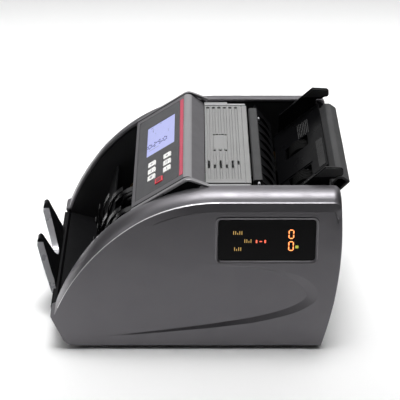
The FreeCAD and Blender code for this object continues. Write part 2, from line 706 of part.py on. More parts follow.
def belt(label, near, wheels):
    """A flat belt that wraps the outside of its pulleys, a hair above them."""
    centres = [(number(y), number(z), number(r)) for y, z, r in wheels]

    def hull(extra):
        loop = None
        for y, z, r in centres:
            disc = Part.makeCylinder(r + extra, d.belt_width.value, FreeCAD.Vector(0, y, z),
                                     FreeCAD.Vector(1, 0, 0))
            loop = disc if loop is None else loop.fuse(disc)
        count = len(centres)
        tangents = []
        for i in range(count):
            y1, z1, r1 = centres[i]
            y2, z2, r2 = centres[(i + 1) % count]
            run = math.hypot(y2 - y1, z2 - z1)
            heading = math.atan2(z2 - z1, y2 - y1)
            tilt = heading - math.acos((r1 - r2) / run)
            normal = FreeCAD.Vector(0, math.cos(tilt), math.sin(tilt))
            tangents.append(FreeCAD.Vector(0, y1, z1) + normal * (r1 + extra))
            tangents.append(FreeCAD.Vector(0, y2, z2) + normal * (r2 + extra))
        edges = [Part.LineSegment(tangents[i], tangents[(i + 1) % len(tangents)]).toShape()
                 for i in range(len(tangents))]
        body = Part.Face(Part.Wire(edges)).extrude(FreeCAD.Vector(d.belt_width.value, 0, 0))
        return loop.fuse(body)

    air = 0.35
    band = doc.addObject("Part::Feature", label)
    band.Shape = hull(air + d.belt_thick.value).cut(hull(air)).removeSplitter()
    band.Placement = FreeCAD.Placement(
        FreeCAD.Vector(-near.value - d.belt_width.value, 0, 0), FreeCAD.Rotation())
    node(label, band)


def drive_train():
    shaft("feed_shaft", d.feed_y, d.feed_z, d.shaft_end, d.shaft_right)
    shaft("pickup_shaft", d.pickup_y, d.pickup_z, d.shaft_end, d.shaft_right)
    shaft("stacker_shaft", d.stack_y, d.stack_z, d.shaft_end, d.shaft_right)
    tyre_rollers("feed_rollers", d.feed_radius, 20.0, 24.0, d.feed_y, d.feed_z)
    tyre_rollers("pickup_rollers", d.pickup_radius, 24.0, 20.0, d.pickup_y, d.pickup_z)
    stacker_wheel("stacker_wheel_right", d.stack_x.value)
    stacker_wheel("stacker_wheel_left", -d.stack_x.value)
    node("feed_pulley", pulley("feed_pulley", d.feed_pulley, d.belt_far, d.feed_y, d.feed_z,
                               d.shaft_radius))
    node("pickup_pulley", pulley("pickup_pulley", d.pickup_pulley, d.belt_far, d.pickup_y, d.pickup_z,
                                 d.shaft_radius))
    node("stacker_pulley", pulley("stacker_pulley", d.stack_pulley, d.belt_near, d.stack_y, d.stack_z,
                                  d.shaft_radius))
    spindle = rod_x("motor_spindle", 2.5, -d.shaft_end, 39.4, d.motor_y, d.motor_z)
    drums = rod_x("motor_drums", d.motor_pulley, -d.belt_far - d.belt_width - 1.0,
                  d.belt_far - d.belt_near + d.belt_width + 2.0, d.motor_y, d.motor_z)
    node("motor_pulley", join("motor_pulley", [spindle, drums]))
    can = rod_x("motor_can", d.motor_radius, -97.9, 56.0, d.motor_y, d.motor_z)
    room = rod_x("motor_spindle_room", 2.55, -98.5, 20.5, d.motor_y, d.motor_z)
    node("drive_motor", cut("drive_motor", can, [room]))
    belt("feed_belt", d.belt_far, [
        (d.motor_y, d.motor_z, d.motor_pulley), (d.feed_y, d.feed_z, d.feed_pulley),
        (d.pickup_y, d.pickup_z, d.pickup_pulley)])
    belt("stacker_belt", d.belt_near, [
        (d.motor_y, d.motor_z, d.motor_pulley), (d.stack_y, d.stack_z, d.stack_pulley)])


def bearings():
    """A plain bearing in each frame for each of the three shafts, with 0.05 mm of running room."""
    bushes = []
    for i, (y, z) in enumerate(SHAFTS):
        for side, low in (("right", d.frame_x - 1.0), ("left", -d.frame_x - d.frame_thick - 1.0)):
            ring = rod_x(f"bush_{side}_{i}", d.bearing_radius, low, d.frame_thick + 2.0,
                         getattr(d, y), getattr(d, z))
            bore = rod_x(f"bush_bore_{side}_{i}", d.shaft_radius + d.clearance, low - 1.0,
                         d.frame_thick + 4.0, getattr(d, y), getattr(d, z))
            bushes.append(cut(f"bush_{side}_{i}_ring", ring, [bore]))
    node("shaft_bearings", group("shaft_bearings", bushes))


# ---------------------------------------------------------------- electrics

def electrics():
    node("main_board", box("main_board", (103.0, -60.0, 14.0), (1.6, 170.0, 78.0)))
    core = box("transformer_core", (22.0, 66.0, d.base_low + d.wall), (54.0, 40.0, 52.0))
    coil = box("transformer_coil", (32.0, 58.0, 20.0), (34.0, 56.0, 32.0))
    node("power_transformer", join("power_transformer", [core, coil]))
    window = box("side_display_window", (d.half_width - 2.4, d.window_y, d.window_z),
                 (1.9, d.window_length, d.window_height))
    node("side_display_window", window)
    board = box("side_board", (113.0, d.window_y + 6.0, d.window_z + 2.0), (1.6, 84.0, 42.0))
    digits = [box(f"digit_module_{i}", (114.6, 92.0, z), (3.9, 12.0, 12.6))
              for i, z in enumerate((110.4, 124.4))]
    node("side_display_board", join("side_display_board", [board] + digits))
    face_y = d.inlet_face_y
    block = box("inlet_block", (d.inlet_x + 0.2, face_y - 22.0, d.inlet_z + 0.2),
                (d.inlet_width - 0.4, 22.0, d.inlet_height - 0.4))
    recess = box("inlet_recess", (d.inlet_x + 3.0, face_y - 16.0, d.inlet_z + 6.0), (25.0, 20.0, 18.0))
    slot = box("switch_slot", (d.inlet_x + 32.4, face_y - 11.0, d.inlet_z + 4.0), (14.0, 20.0, 22.0))
    hollowed = cut("inlet_hollowed", block, [recess, slot])
    pins = [box(f"inlet_pin_{i}", (d.inlet_x + x, face_y - 17.0, d.inlet_z + z), (2.0, 9.0, 4.0))
            for i, (x, z) in enumerate([(7.5, 9.0), (14.5, 15.0), (21.5, 9.0)])]
    node("mains_inlet", join("mains_inlet", [hollowed] + pins))
    outline = [
        (face_y - 6.0, 33.0), (face_y - 0.4, 29.2), (face_y + 3.2, 29.6), (face_y + 1.2, 39.0),
        (face_y + 1.6, 48.6), (face_y - 0.4, 48.8), (face_y - 6.0, 45.0),
    ]
    node("power_rocker", prism("power_rocker", "YZ_Plane", outline, d.inlet_x + 33.4, 12.0))


def rear_face_y(z):
    """Where the bowed rear face stands at a height."""
    low = FreeCAD.Vector(129.2, 6.6, 0)
    high = FreeCAD.Vector(d.rear_y.value - 0.2, 156.0, 0)
    bow = arc_through(low, high, d.bow_radius.value).toShape().Curve
    return bow.Center.x + math.sqrt(bow.Radius ** 2 - (z - bow.Center.y) ** 2)


def screws():
    """Pan-head screws: two up through the base beside each foot line and four in the rear cover."""
    parts = []
    for i, (x, y) in enumerate(BASE_SCREWS):
        parts.append(rod_z(f"base_screw_{i}", d.screw_radius, x, y, 1.9, 2.0))
    for i, (x, z) in enumerate(REAR_SCREWS):
        parts.append(rod_y(f"rear_screw_{i}", d.screw_radius, x, rear_face_y(z) - 0.6, z, 1.9))
    node("case_screws", group("case_screws", parts))


def main():
    side_covers()
    side_frames()
    cross_ties()
    base_tray()
    rubber_feet()
    front_lower_cover()
    rear_cover()
    hopper_plate()
    hopper_front_wall()
    rear_beam()
    hopper_guides()
    vent_cover()
    display_unit()
    bezel()
    keys()
    stacker_plate()
    stacker_floor()
    chutes()
    retard()
    drive_train()
    bearings()
    electrics()
    screws()
    doc.recompute()
    for thing in doc.Objects:
        bad = [word for word in thing.State if word in ("Invalid", "Error")]
        if bad:
            raise RuntimeError(f"{thing.Name} did not build: {bad}")
    os.makedirs("parts", exist_ok=True)
    for label, thing in nodes.items():
        shape = thing.Shape
        if shape.isNull() or not shape.isValid() or not shape.Solids:
            raise RuntimeError(f"{label} has no valid solid")
        shape.exportStep(f"parts/{label}.step")
        print(f"{label}: {len(shape.Solids)} solid(s), {shape.Volume / 1000:.2f} cm3")


main()
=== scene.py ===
import math

import bmesh
import bpy
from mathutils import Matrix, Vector
from mathutils.geometry import delaunay_2d_cdt


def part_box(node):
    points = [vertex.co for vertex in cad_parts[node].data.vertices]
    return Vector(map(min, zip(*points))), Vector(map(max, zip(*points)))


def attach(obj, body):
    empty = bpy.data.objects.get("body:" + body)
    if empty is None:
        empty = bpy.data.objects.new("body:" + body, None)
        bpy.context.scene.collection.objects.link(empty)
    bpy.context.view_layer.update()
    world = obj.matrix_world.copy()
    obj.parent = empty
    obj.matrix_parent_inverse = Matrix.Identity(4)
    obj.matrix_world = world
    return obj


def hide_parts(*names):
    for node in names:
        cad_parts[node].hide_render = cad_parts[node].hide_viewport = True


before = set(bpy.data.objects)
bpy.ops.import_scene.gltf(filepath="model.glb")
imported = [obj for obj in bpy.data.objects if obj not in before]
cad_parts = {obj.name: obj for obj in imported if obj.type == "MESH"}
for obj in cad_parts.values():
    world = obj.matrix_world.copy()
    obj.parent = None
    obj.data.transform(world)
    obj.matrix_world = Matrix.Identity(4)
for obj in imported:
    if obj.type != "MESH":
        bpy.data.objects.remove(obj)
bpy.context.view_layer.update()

MM = 0.001


# ---------------------------------------------------------------- places read from the frame, in mm

def span(node):
    """The low and high corners of a CAD node in millimetres."""
    low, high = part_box(node)
    return low / MM, high / MM


COVER_LOW, COVER_HIGH = span("side_cover_right")
WINDOW_LOW, WINDOW_HIGH = span("side_display_window")
BEZEL_LOW, BEZEL_HIGH = span("display_bezel")
LCD_LOW, LCD_HIGH = span("lcd_lens")
VENT_LOW, VENT_HIGH = span("vent_cover")
PLATE_LOW = span("hopper_plate")[0]
GUIDE_LOW, GUIDE_HIGH = span("hopper_guide_right")

HALF_WIDTH = COVER_HIGH.x
RIM_INNER = COVER_LOW.x
BASE_Z = COVER_LOW.z
RIM_RISE = 7.8
CREASE_TOP = COVER_HIGH.z - RIM_RISE
PANEL_ANGLE = math.radians(33.2)
PANEL_Y, PANEL_Z = -55.5, 143.6
HOPPER_ANGLE = math.radians(40.0)
INNER_HALF = 97.5
HAND = {1: "right", -1: "left"}


# ---------------------------------------------------------------- materials

def new_material(name):
    material = bpy.data.materials.new(name)
    material.use_nodes = True
    tree = material.node_tree
    return material, tree, tree.nodes["Principled BSDF"]


def add(tree, kind, **settings):
    node = tree.nodes.new(kind)
    for key, value in settings.items():
        if key in node.inputs:
            node.inputs[key].default_value = value
        else:
            setattr(node, key, value)
    return node


def noise(tree, scale, detail=3.0, roughness=0.55):
    """Noise in the object's own metres, so its grain has a real size."""
    coords = add(tree, "ShaderNodeTexCoord")
    texture = add(tree, "ShaderNodeTexNoise", Scale=scale, Detail=detail, Roughness=roughness)
    tree.links.new(coords.outputs["Object"], texture.inputs["Vector"])
    return texture


def tune(shader, **values):
    for key, value in values.items():
        shader.inputs[key.replace("_", " ")].default_value = value


def blend(tree, texture, dark, light, target, ends=(0.0, 1.0)):
    """Drives a colour input from dark to light with a noise."""
    ramp = add(tree, "ShaderNodeValToRGB")
    for stop, place, colour in zip(ramp.color_ramp.elements, ends, (dark, light)):
        stop.position = place
        stop.color = (*colour, 1)
    tree.links.new(texture.outputs["Fac"], ramp.inputs["Fac"])
    tree.links.new(ramp.outputs["Color"], target)


NOISE_LOW, NOISE_HIGH = 0.3, 0.7


def vary_colour(tree, shader, colour, texture, amount):
    """Base colour that drifts a little darker and lighter with a noise."""
    dark, light = [c * (1 - amount) for c in colour], [min(c * (1 + amount), 1) for c in colour]
    blend(tree, texture, dark, light, shader.inputs["Base Color"], (NOISE_LOW, NOISE_HIGH))


def vary_roughness(tree, shader, low, high, texture):
    spread = add(tree, "ShaderNodeMapRange",
                 **{"To Min": low, "To Max": high, "From Min": NOISE_LOW, "From Max": NOISE_HIGH})
    tree.links.new(texture.outputs["Fac"], spread.inputs["Value"])
    tree.links.new(spread.outputs["Result"], shader.inputs["Roughness"])


def bump(tree, shader, texture, strength, distance):
    relief = add(tree, "ShaderNodeBump", Strength=strength, Distance=distance)
    tree.links.new(texture.outputs["Fac"], relief.inputs["Height"])
    tree.links.new(relief.outputs["Normal"], shader.inputs["Normal"])


def plastic(name, colour, roughness=0.45, grain=3200.0, depth=0.12, drift=0.06, metallic=0.0, coat=0.0,
            specular=0.5):
    """Moulded plastic: a fine spark-eroded grain, slow colour drift and uneven sheen."""
    material, tree, shader = new_material(name)
    vary_colour(tree, shader, colour, noise(tree, 22.0, 4.0), drift)
    vary_roughness(tree, shader, roughness - 0.05, roughness + 0.05, noise(tree, 60.0, 5.0))
    bump(tree, shader, noise(tree, grain, 2.0), depth, 0.00006)
    tune(shader, Metallic=metallic, Coat_Weight=coat, Coat_Roughness=0.12, Specular_IOR_Level=specular)
    return material


def metal(name, colour, roughness=0.28, stretch=(4.0, 900.0, 900.0)):
    """Ground steel with faint lines along X."""
    material, tree, shader = new_material(name)
    coords = add(tree, "ShaderNodeTexCoord")
    mapping = add(tree, "ShaderNodeMapping")
    mapping.inputs["Scale"].default_value = stretch
    lines = add(tree, "ShaderNodeTexNoise", Scale=1.0, Detail=4.0)
    tree.links.new(coords.outputs["Object"], mapping.inputs["Vector"])
    tree.links.new(mapping.outputs["Vector"], lines.inputs["Vector"])
    vary_colour(tree, shader, colour, lines, 0.12)
    vary_roughness(tree, shader, roughness - 0.08, roughness + 0.1, lines)
    bump(tree, shader, lines, 0.1, 0.00003)
    tune(shader, Metallic=1.0)
    return material


def glow(name, colour, strength):
    """A lit surface, a little uneven across its face like a real backlight."""
    material, tree, shader = new_material(name)
    blend(tree, noise(tree, 90.0, 2.0), [c * 0.93 for c in colour], colour, shader.inputs["Emission Color"])
    tune(shader, Base_Color=(*[c * 0.06 for c in colour], 1), Specular_IOR_Level=0.15,
         Emission_Strength=strength, Roughness=0.25)
    return material


MATERIALS = {
    "casing": plastic("casing_grey_satin", (0.146, 0.141, 0.151), 0.38, drift=0.03, metallic=0.75),
    "black": plastic("black_moulded", (0.004, 0.004, 0.0045), 0.52, depth=0.2, specular=0.07),
    "gloss_black": plastic("black_polished", (0.004, 0.004, 0.0045), 0.26, grain=1500.0, depth=0.05,
                           specular=0.14),
    # painted highlight: a near-white copy of the casing that draws the crease's edge highlight
    "edge": plastic("casing_painted_crease_highlight", (0.68, 0.67, 0.69), 0.34, drift=0.03, metallic=0.6),
    # a lighter copy of the casing: the display's lighter lips, and painted highlight on the window lip's top,
    # the crease's ends and the display's crown
    "casing_light": plastic("casing_lip_and_painted_highlight", (0.26, 0.255, 0.265), 0.32, drift=0.03, metallic=0.75),
    "deep_black": plastic("black_hopper_sheet", (0.003, 0.003, 0.0034), 0.3, grain=1500.0, depth=0.06,
                          specular=0.04),
    "charcoal": plastic("charcoal_moulded", (0.02, 0.02, 0.021), 0.42, specular=0.35),
    "bar": plastic("bar_mid_grey", (0.034, 0.034, 0.035), 0.44, specular=0.2),
    "bezel": plastic("bezel_film", (0.048, 0.048, 0.051), 0.5, grain=5000.0, depth=0.05),
    "vent": plastic("vent_light_grey", (0.22, 0.22, 0.218), 0.48, specular=0.3),
    "trim": plastic("trim_silver_grey", (0.34, 0.34, 0.345), 0.36, coat=0.2),
    "prong": plastic("prong_silver", (0.42, 0.42, 0.44), 0.3, metallic=0.35, coat=0.3),
    "stripe": plastic("stripe_red_film", (0.42, 0.014, 0.055), 0.34, depth=0.03, coat=0.15),
    "key_white": plastic("key_white_cap", (0.74, 0.74, 0.72), 0.38, depth=0.06),
    "key_red": plastic("key_red_cap", (0.62, 0.03, 0.05), 0.36, depth=0.06),
    "key_mark": plastic("key_mark_print", (0.26, 0.26, 0.28), 0.5, depth=0.02),
    "key_deep": plastic("key_red_print", (0.16, 0.03, 0.035), 0.45, depth=0.02),
    "window": plastic("window_smoked", (0.0025, 0.0025, 0.003), 0.14, grain=900.0, depth=0.01, specular=0.1),
    "rubber": plastic("rubber_matt", (0.005, 0.005, 0.005), 0.75, grain=1500.0, depth=0.4, specular=0.05),
    "steel": metal("steel_ground", (0.56, 0.56, 0.58)),
    "bronze": metal("bronze_sintered", (0.5, 0.34, 0.16), 0.45, (900.0, 900.0, 900.0)),
    "frame": plastic("frame_black_coat", (0.012, 0.012, 0.013), 0.42, grain=2200.0, depth=0.25),
    "board": plastic("board_green_mask", (0.015, 0.1, 0.04), 0.32, grain=1200.0, depth=0.1),
    "iron": plastic("core_dark_iron", (0.07, 0.07, 0.075), 0.5, metallic=0.7, grain=1800.0, depth=0.3),
    "lcd": glow("lcd_backlight", (0.46, 0.49, 0.84), 1.0),
    "lcd_ink": plastic("lcd_dark_segments", (0.004, 0.004, 0.1), 0.8, depth=0.0, specular=0.03),
    "lcd_faint": plastic("lcd_faint_segments", (0.25, 0.28, 0.5), 0.3, depth=0.0),
    "amber": glow("led_amber", (0.8, 0.52, 0.16), 0.75),
    "orange": glow("led_orange_white", (1.0, 0.3, 0.09), 2.6),
    "red_led": glow("led_red", (1.0, 0.16, 0.09), 1.5),
    "lime": glow("led_lime", (0.6, 0.62, 0.09), 0.85),
    "lamp": plastic("lamp_violet_glass", (0.25, 0.2, 0.45), 0.1, depth=0.02, coat=0.6),
}

NODE_MATERIALS = {
    "casing": "side_cover_right side_cover_left",
    "charcoal": "front_lower_cover rear_cover hopper_front_wall rear_beam",
    "black": "base_tray hopper_plate hopper_guide_right hopper_guide_left stacker_floor lower_chute "
             "upper_chute stacker_wheel_right stacker_wheel_left feed_pulley pickup_pulley stacker_pulley "
             "mains_inlet power_rocker",
    "vent": "vent_cover",
    "trim": "display_housing display_trim_right display_trim_left",
    "prong": "stacker_plate",
    "bezel": "display_bezel",
    "stripe": "display_stripe",
    "lcd": "lcd_lens",
    "window": "side_display_window",
    "rubber": "rubber_feet feed_rollers pickup_rollers retard_roller feed_belt stacker_belt",
    "frame": "side_frame_right side_frame_left retard_bracket",
    "steel": "cross_ties gap_screw feed_shaft pickup_shaft stacker_shaft motor_pulley case_screws",
    "bronze": "shaft_bearings",
    "board": "display_board sensor_board main_board side_display_board",
    "iron": "drive_motor power_transformer",
    "lamp": "uv_lamp",
    "key_red": "key_reset",
    "key_white": "key_front_1 key_front_2 key_front_3 key_rear_1 key_rear_2 key_rear_3",
}


def paint_nodes():
    for key, names in NODE_MATERIALS.items():
        for name in names.split():
            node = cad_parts[name]
            node.data.materials.clear()
            node.data.materials.append(MATERIALS[key])


# ---------------------------------------------------------------- camera, light and floor

def put(name, data):
    """A new object in the scene."""
    thing = bpy.data.objects.new(name, data)
    bpy.context.scene.collection.objects.link(thing)
    return thing


def camera():
    data = bpy.data.cameras.new("camera")
    data.lens = 140.5
    data.sensor_width = 36.0
    data.shift_x = 0.0175
    data.clip_end = 50.0
    eye = put("camera", data)
    eye.location = (1.4068, 0.0035, 0.84945)
    eye.rotation_euler = (math.radians(62.0), 0.0, math.radians(90.0))
    bpy.context.scene.camera = eye


def area_light(name, place, aim, size, power, spread=180.0):
    data = bpy.data.lights.new(name, "AREA")
    data.shape = "RECTANGLE"
    data.size, data.size_y = size
    data.energy = power
    data.spread = math.radians(spread)
    lamp = put(name, data)
    lamp.location = place
    lamp.rotation_euler = (Vector(aim) - Vector(place)).to_track_quat("-Z", "Y").to_euler()
    lamp.visible_camera = False


def studio():
    """Soft light from above and behind, as in the photo, with a weak strip at the front left."""
    world = bpy.data.worlds.new("studio")
    bpy.context.scene.world = world
    world.use_nodes = True
    tune(world.node_tree.nodes["Background"], Color=(0.95, 0.96, 1.0, 1.0), Strength=0.02)
    area_light("top_softbox", (-0.25, 0.0, 0.96), (-0.25, 0.0, 0.0), (0.74, 1.4), 6.4)
    area_light("floor_pool", (-0.22, 0.0, 1.3), (-0.22, 0.0, 0.0), (1.1, 1.7), 5.2, spread=38.0)
    area_light("back_softbox", (-1.3, 0.1, 0.75), (0.0, 0.03, 0.15), (2.4, 0.8), 6.8)
    area_light("front_strip", (0.3, -0.95, 0.5), (0.0, -0.1, 0.1), (0.2, 0.75), 1.4)
    bpy.context.scene.view_settings.view_transform = "Standard"


def floor():
    mesh = bpy.data.meshes.new("floor")
    reach = 12.0
    corners = [(-reach, -reach, 0), (reach, -reach, 0), (reach, reach, 0), (-reach, reach, 0)]
    mesh.from_pydata(corners, [], [(0, 1, 2, 3)])
    slab = put("floor", mesh)
    slab.data.materials.append(plastic("floor_white_sweep", (0.9, 0.9, 0.9), 0.6, grain=300.0, depth=0.0,
                                       drift=0.004))


# ---------------------------------------------------------------- making pieces

def resize(bm, factor):
    bmesh.ops.scale(bm, vec=(factor, factor, factor), verts=bm.verts)


def make(name, bm, keys, body="chassis", nodes=(), bevel=0.0, segments=2, corner=28.0, smooth=38.0,
         merge=0.0):
    """A finished piece: drawn in millimetres, edges bevelled and shaded, riding on its body."""
    if merge:
        bmesh.ops.remove_doubles(bm, verts=bm.verts, dist=merge)
    bmesh.ops.recalc_face_normals(bm, faces=bm.faces)
    resize(bm, MM)
    mesh = bpy.data.meshes.new(name)
    bm.to_mesh(mesh)
    bm.free()
    thing = put(name, mesh)
    keys = [keys] if isinstance(keys, str) else keys
    for key in keys:
        mesh.materials.append(MATERIALS[key])
    if bevel:
        rounding = thing.modifiers.new("rounding", "BEVEL")
        rounding.width = bevel * MM
        rounding.segments = segments
        rounding.limit_method = "ANGLE"
        rounding.angle_limit = math.radians(corner)
        rounding.miter_outer = "MITER_ARC"
    settle(thing, smooth)
    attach(thing, body)
    if nodes:
        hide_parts(*nodes)
    return thing


def settle(thing, smooth=38.0):
    """Applies the modifiers, then smooths every edge flatter than the given angle."""
    if thing.modifiers:
        view = bpy.context.evaluated_depsgraph_get()
        view.update()
        final = bpy.data.meshes.new_from_object(thing.evaluated_get(view))
        thing.modifiers.clear()
        old = thing.data
        thing.data = final
        bpy.data.meshes.remove(old)
    mesh = thing.data
    mesh.polygons.foreach_set("use_smooth", [True] * len(mesh.polygons))
    mesh.set_sharp_from_angle(angle=math.radians(smooth))
    weigh = thing.modifiers.new("weighted", "WEIGHTED_NORMAL")
    weigh.keep_sharp = True
    weigh.weight = 60


def cad_piece(name, node, key, bevel, segments=2, smooth=38.0, body="chassis"):
    """A node whose shape is right, given rounded edges in place of knife edges."""
    bm = bmesh.new()
    bm.from_mesh(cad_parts[node].data)
    resize(bm, 1 / MM)
    bmesh.ops.remove_doubles(bm, verts=bm.verts, dist=0.002)
    bmesh.ops.dissolve_limit(bm, angle_limit=math.radians(0.6), verts=bm.verts, edges=bm.edges)
    return make(name, bm, key, body, [node], bevel, segments, smooth=smooth)


def polygon_prism(bm, points, axis, low, high, material=0, frame_of=None):
    """A closed outline in the plane across an axis, run from low to high along it."""
    near, far = [], []
    for row, t in ((near, low), (far, high)):
        for a, b in points:
            place = {"x": (t, a, b), "y": (a, t, b), "z": (a, b, t)}[axis]
            row.append(bm.verts.new(frame_of(*place) if frame_of else place))
    faces = [bm.faces.new(near[::-1]), bm.faces.new(far)]
    for i in range(len(points)):
        j = (i + 1) % len(points)
        faces.append(bm.faces.new((near[i], near[j], far[j], far[i])))
    for face in faces:
        face.material_index = material


def rectangle(low, high):
    return [(low[0], low[1]), (high[0], low[1]), (high[0], high[1]), (low[0], high[1])]


def block(bm, low, high, frame_of=None):
    polygon_prism(bm, rectangle(low, high), "z", low[2], high[2], 0, frame_of)


def extruded(name, key, shapes, nodes=(), frame_of=None, body="chassis", **look):
    """A finished piece made of closed outlines, each given with its axis, low end and high end."""
    bm = bmesh.new()
    for outline, axis, low, high in shapes:
        polygon_prism(bm, outline, axis, low, high, 0, frame_of)
    return make(name, bm, key, body, nodes, **look)


def rounded(low, high, radius, steps=6):
    """The outline of a rectangle with rounded corners."""
    centres = [(high[0] - radius, high[1] - radius), (low[0] + radius, high[1] - radius),
               (low[0] + radius, low[1] + radius), (high[0] - radius, low[1] + radius)]
    points = []
    for i, (cx, cy) in enumerate(centres):
        for k in range(steps + 1):
            turn = math.radians(90 * i + 90 * k / steps)
            points.append((cx + radius * math.cos(turn), cy + radius * math.sin(turn)))
    return points


def ring_stack(bm, rows, ends=False):
    """Skins closed rows of matching points, and caps the first and last if asked."""
    loops = [[bm.verts.new(p) for p in row] for row in rows]
    for a, b in zip(loops, loops[1:]):
        for i in range(len(a)):
            j = (i + 1) % len(a)
            bm.faces.new((a[i], a[j], b[j], b[i]))
    if ends:
        bm.faces.new(loops[0][::-1])
        bm.faces.new(loops[-1])
    return loops


def turned(bm, profile, centre, steps=48, axis="x"):
    """A solid of revolution about a line along an axis; profile is (along, radius), closed."""
    cy, cz = centre
    rows = []
    for k in range(steps):
        turn = 2 * math.pi * k / steps
        row = []
        for along, radius in profile:
            a, b = cy + radius * math.cos(turn), cz + radius * math.sin(turn)
            row.append({"x": (along, a, b), "y": (a, along, b), "z": (a, b, along)}[axis])
        rows.append([bm.verts.new(p) for p in row])
    for k in range(steps):
        a, b = rows[k], rows[(k + 1) % steps]
        for i in range(len(profile)):
            j = (i + 1) % len(profile)
            bm.faces.new((a[i], a[j], b[j], b[i]))


def arc(start, end, radius, steps):
    """Points on an arc between two points, its centre on the left of the way."""
    (ay, az), (by, bz) = start, end
    my, mz = (ay + by) / 2, (az + bz) / 2
    half = math.hypot(by - ay, bz - az) / 2
    reach = math.sqrt(max(radius * radius - half * half, 0.0))
    uy, uz = (by - ay) / (2 * half), (bz - az) / (2 * half)
    cy, cz = my - uz * reach, mz + uy * reach
    first = math.atan2(az - cz, ay - cy)
    last = math.atan2(bz - cz, by - cy)
    sweep = (last - first + math.pi) % (2 * math.pi) - math.pi
    turns = [first + sweep * k / steps for k in range(steps + 1)]
    return [(cy + radius * math.cos(turn), cz + radius * math.sin(turn)) for turn in turns]


def run(start, end, steps):
    return [(start[0] + (end[0] - start[0]) * k / steps, start[1] + (end[1] - start[1]) * k / steps)
            for k in range(steps + 1)]


def normals_of(loop):
    """Outward normals of a closed outline that runs counter-clockwise."""
    count = len(loop)
    result = []
    for i in range(count):
        ay, az = loop[i - 1]
        by, bz = loop[(i + 1) % count]
        length = math.hypot(by - ay, bz - az)
        result.append(((bz - az) / length, -(by - ay) / length))
    return result


def drawn_in(loop, inset):
    """A closed outline moved inward."""
    return [(p[0] - n[0] * inset, p[1] - n[1] * inset) for p, n in zip(loop, normals_of(loop))]


def triangulate(points, edges):
    """A flat mesh that keeps the given edges: its points, (triangle, centre) pairs and points' origins."""
    made, _, triangles, origin, _, _ = delaunay_2d_cdt(points, edges, [], 0, 1e-4)
    centres = [sum((made[k] for k in face), Vector((0, 0))) / len(face) for face in triangles]
    return made, list(zip(triangles, centres)), origin


def drop_loose(bm):
    for vert in [v for v in bm.verts if not v.link_faces]:
        bm.verts.remove(vert)


def smoothstep(value, low, high):
    t = min(max((value - low) / (high - low), 0.0), 1.0)
    return t * t * (3 - 2 * t)


def lookup(table, value):
    """Straight-line interpolation in a short table of (place, value)."""
    if value <= table[0][0]:
        return table[0][1]
    for (a, va), (b, vb) in zip(table, table[1:]):
        if value <= b:
            return va + (vb - va) * (value - a) / (b - a)
    return table[-1][1]


def inside(point, loop):
    y, z = point
    hit = False
    for (ay, az), (by, bz) in zip(loop, loop[1:] + loop[:1]):
        if (az > z) != (bz > z) and y < (by - ay) * (z - az) / (bz - az) + ay:
            hit = not hit
    return hit


def spline(points, steps):
    """A smooth run through given points."""
    result = []
    count = len(points)
    for i in range(count - 1):
        p0, p1, p2, p3 = points[max(i - 1, 0)], points[i], points[i + 1], points[min(i + 2, count - 1)]
        for k in range(steps):
            t = k / steps
            result.append(tuple(
                0.5 * (2 * p1[c] + (p2[c] - p0[c]) * t + (2 * p0[c] - 5 * p1[c] + 4 * p2[c] - p3[c]) * t * t
                       + (3 * p1[c] - p0[c] - 3 * p2[c] + p3[c]) * t ** 3) for c in (0, 1)))
    result.append(tuple(points[-1]))
    return result


# ---------------------------------------------------------------- side covers

SIDE_X = HALF_WIDTH - 1.8
CREASE_FOOT = (-131.2, 39.9)
NOSE_FOOT, BASE_FRONT = (-125.1, 13.1), (-115.9, BASE_Z)
SHOULDER = (-58.65, 133.84)
REAR_LOW, REAR_TOP_Y = (129.0, 3.9), 143.4
CORNER, BOW_RADIUS, TOP_RADIUS, FRONT_RADIUS, NOSE_RADIUS = 8.0, 421.0, 145.0, 213.0, 13.0
RISE = [(-132.0, 0.5), (-120.0, 1.6), (-104.0, 3.1), (-90.0, 4.8), (-67.0, 5.9), (-30.0, 6.5), (5.0, 7.5),
        (28.0, 7.8)]


def crease_outline():
    """The side's outline at the crease, with how far the rim stands above it at each point."""
    loop = []

    def extend(points, rise):
        for point in points[:-1]:
            loop.append((point, rise(point)))

    extend(run(BASE_FRONT, REAR_LOW, 30), lambda p: 0.0)
    corner = (REAR_TOP_Y, CREASE_TOP - CORNER)
    flat_rear, flat_front = (REAR_TOP_Y - CORNER, CREASE_TOP), (28.0, CREASE_TOP)
    extend(arc(REAR_LOW, corner, BOW_RADIUS, 24),
           lambda p: RIM_RISE * (p[1] - BASE_Z) / (CREASE_TOP - BASE_Z))
    extend(arc(corner, flat_rear, CORNER, 8), lambda p: RIM_RISE)
    extend(run(flat_rear, flat_front, 16), lambda p: RIM_RISE)
    top = arc(flat_front, SHOULDER, TOP_RADIUS, 22) + arc(SHOULDER, CREASE_FOOT, FRONT_RADIUS, 30)[1:]
    extend(top, lambda p: lookup(RISE, p[0]))
    nose = [CREASE_FOOT, (-134.2, 39.0), (-135.1, 38.2), (-135.2, 37.0), (-133.7, 32.8), NOSE_FOOT]
    extend(nose, lambda p: 0.3)
    extend(arc(NOSE_FOOT, BASE_FRONT, NOSE_RADIUS, 8), lambda p: 0.0)
    return loop


def rim_point(point, normal, rise, lift):
    """A point of the rim: straight up from the rear edge, square to the arcs elsewhere."""
    y, z = point
    if y > REAR_TOP_Y - CORNER - 0.001 or (z < CREASE_TOP - CORNER and y > 120.0):
        return y, z + rise * lift
    return y + normal[0] * rise * lift, z + normal[1] * rise * lift


def lean(z):
    """The face draws in towards the top."""
    return 1.8 * max(0.0, (z - 90.0) / 72.0) ** 2


def band_depth(y, z, crease_z):
    """Where the face stands at a drop below the crease: a band that leans out, then a fine groove."""
    drop = crease_z - z
    fade = smoothstep(y, -45.0, 8.0)
    if drop <= BAND:
        return SIDE_X + fade * (0.8 + 1.0 * max(drop, 0.0) / BAND)
    if drop <= BAND + GROOVE:
        return SIDE_X - 0.9 * fade
    return SIDE_X


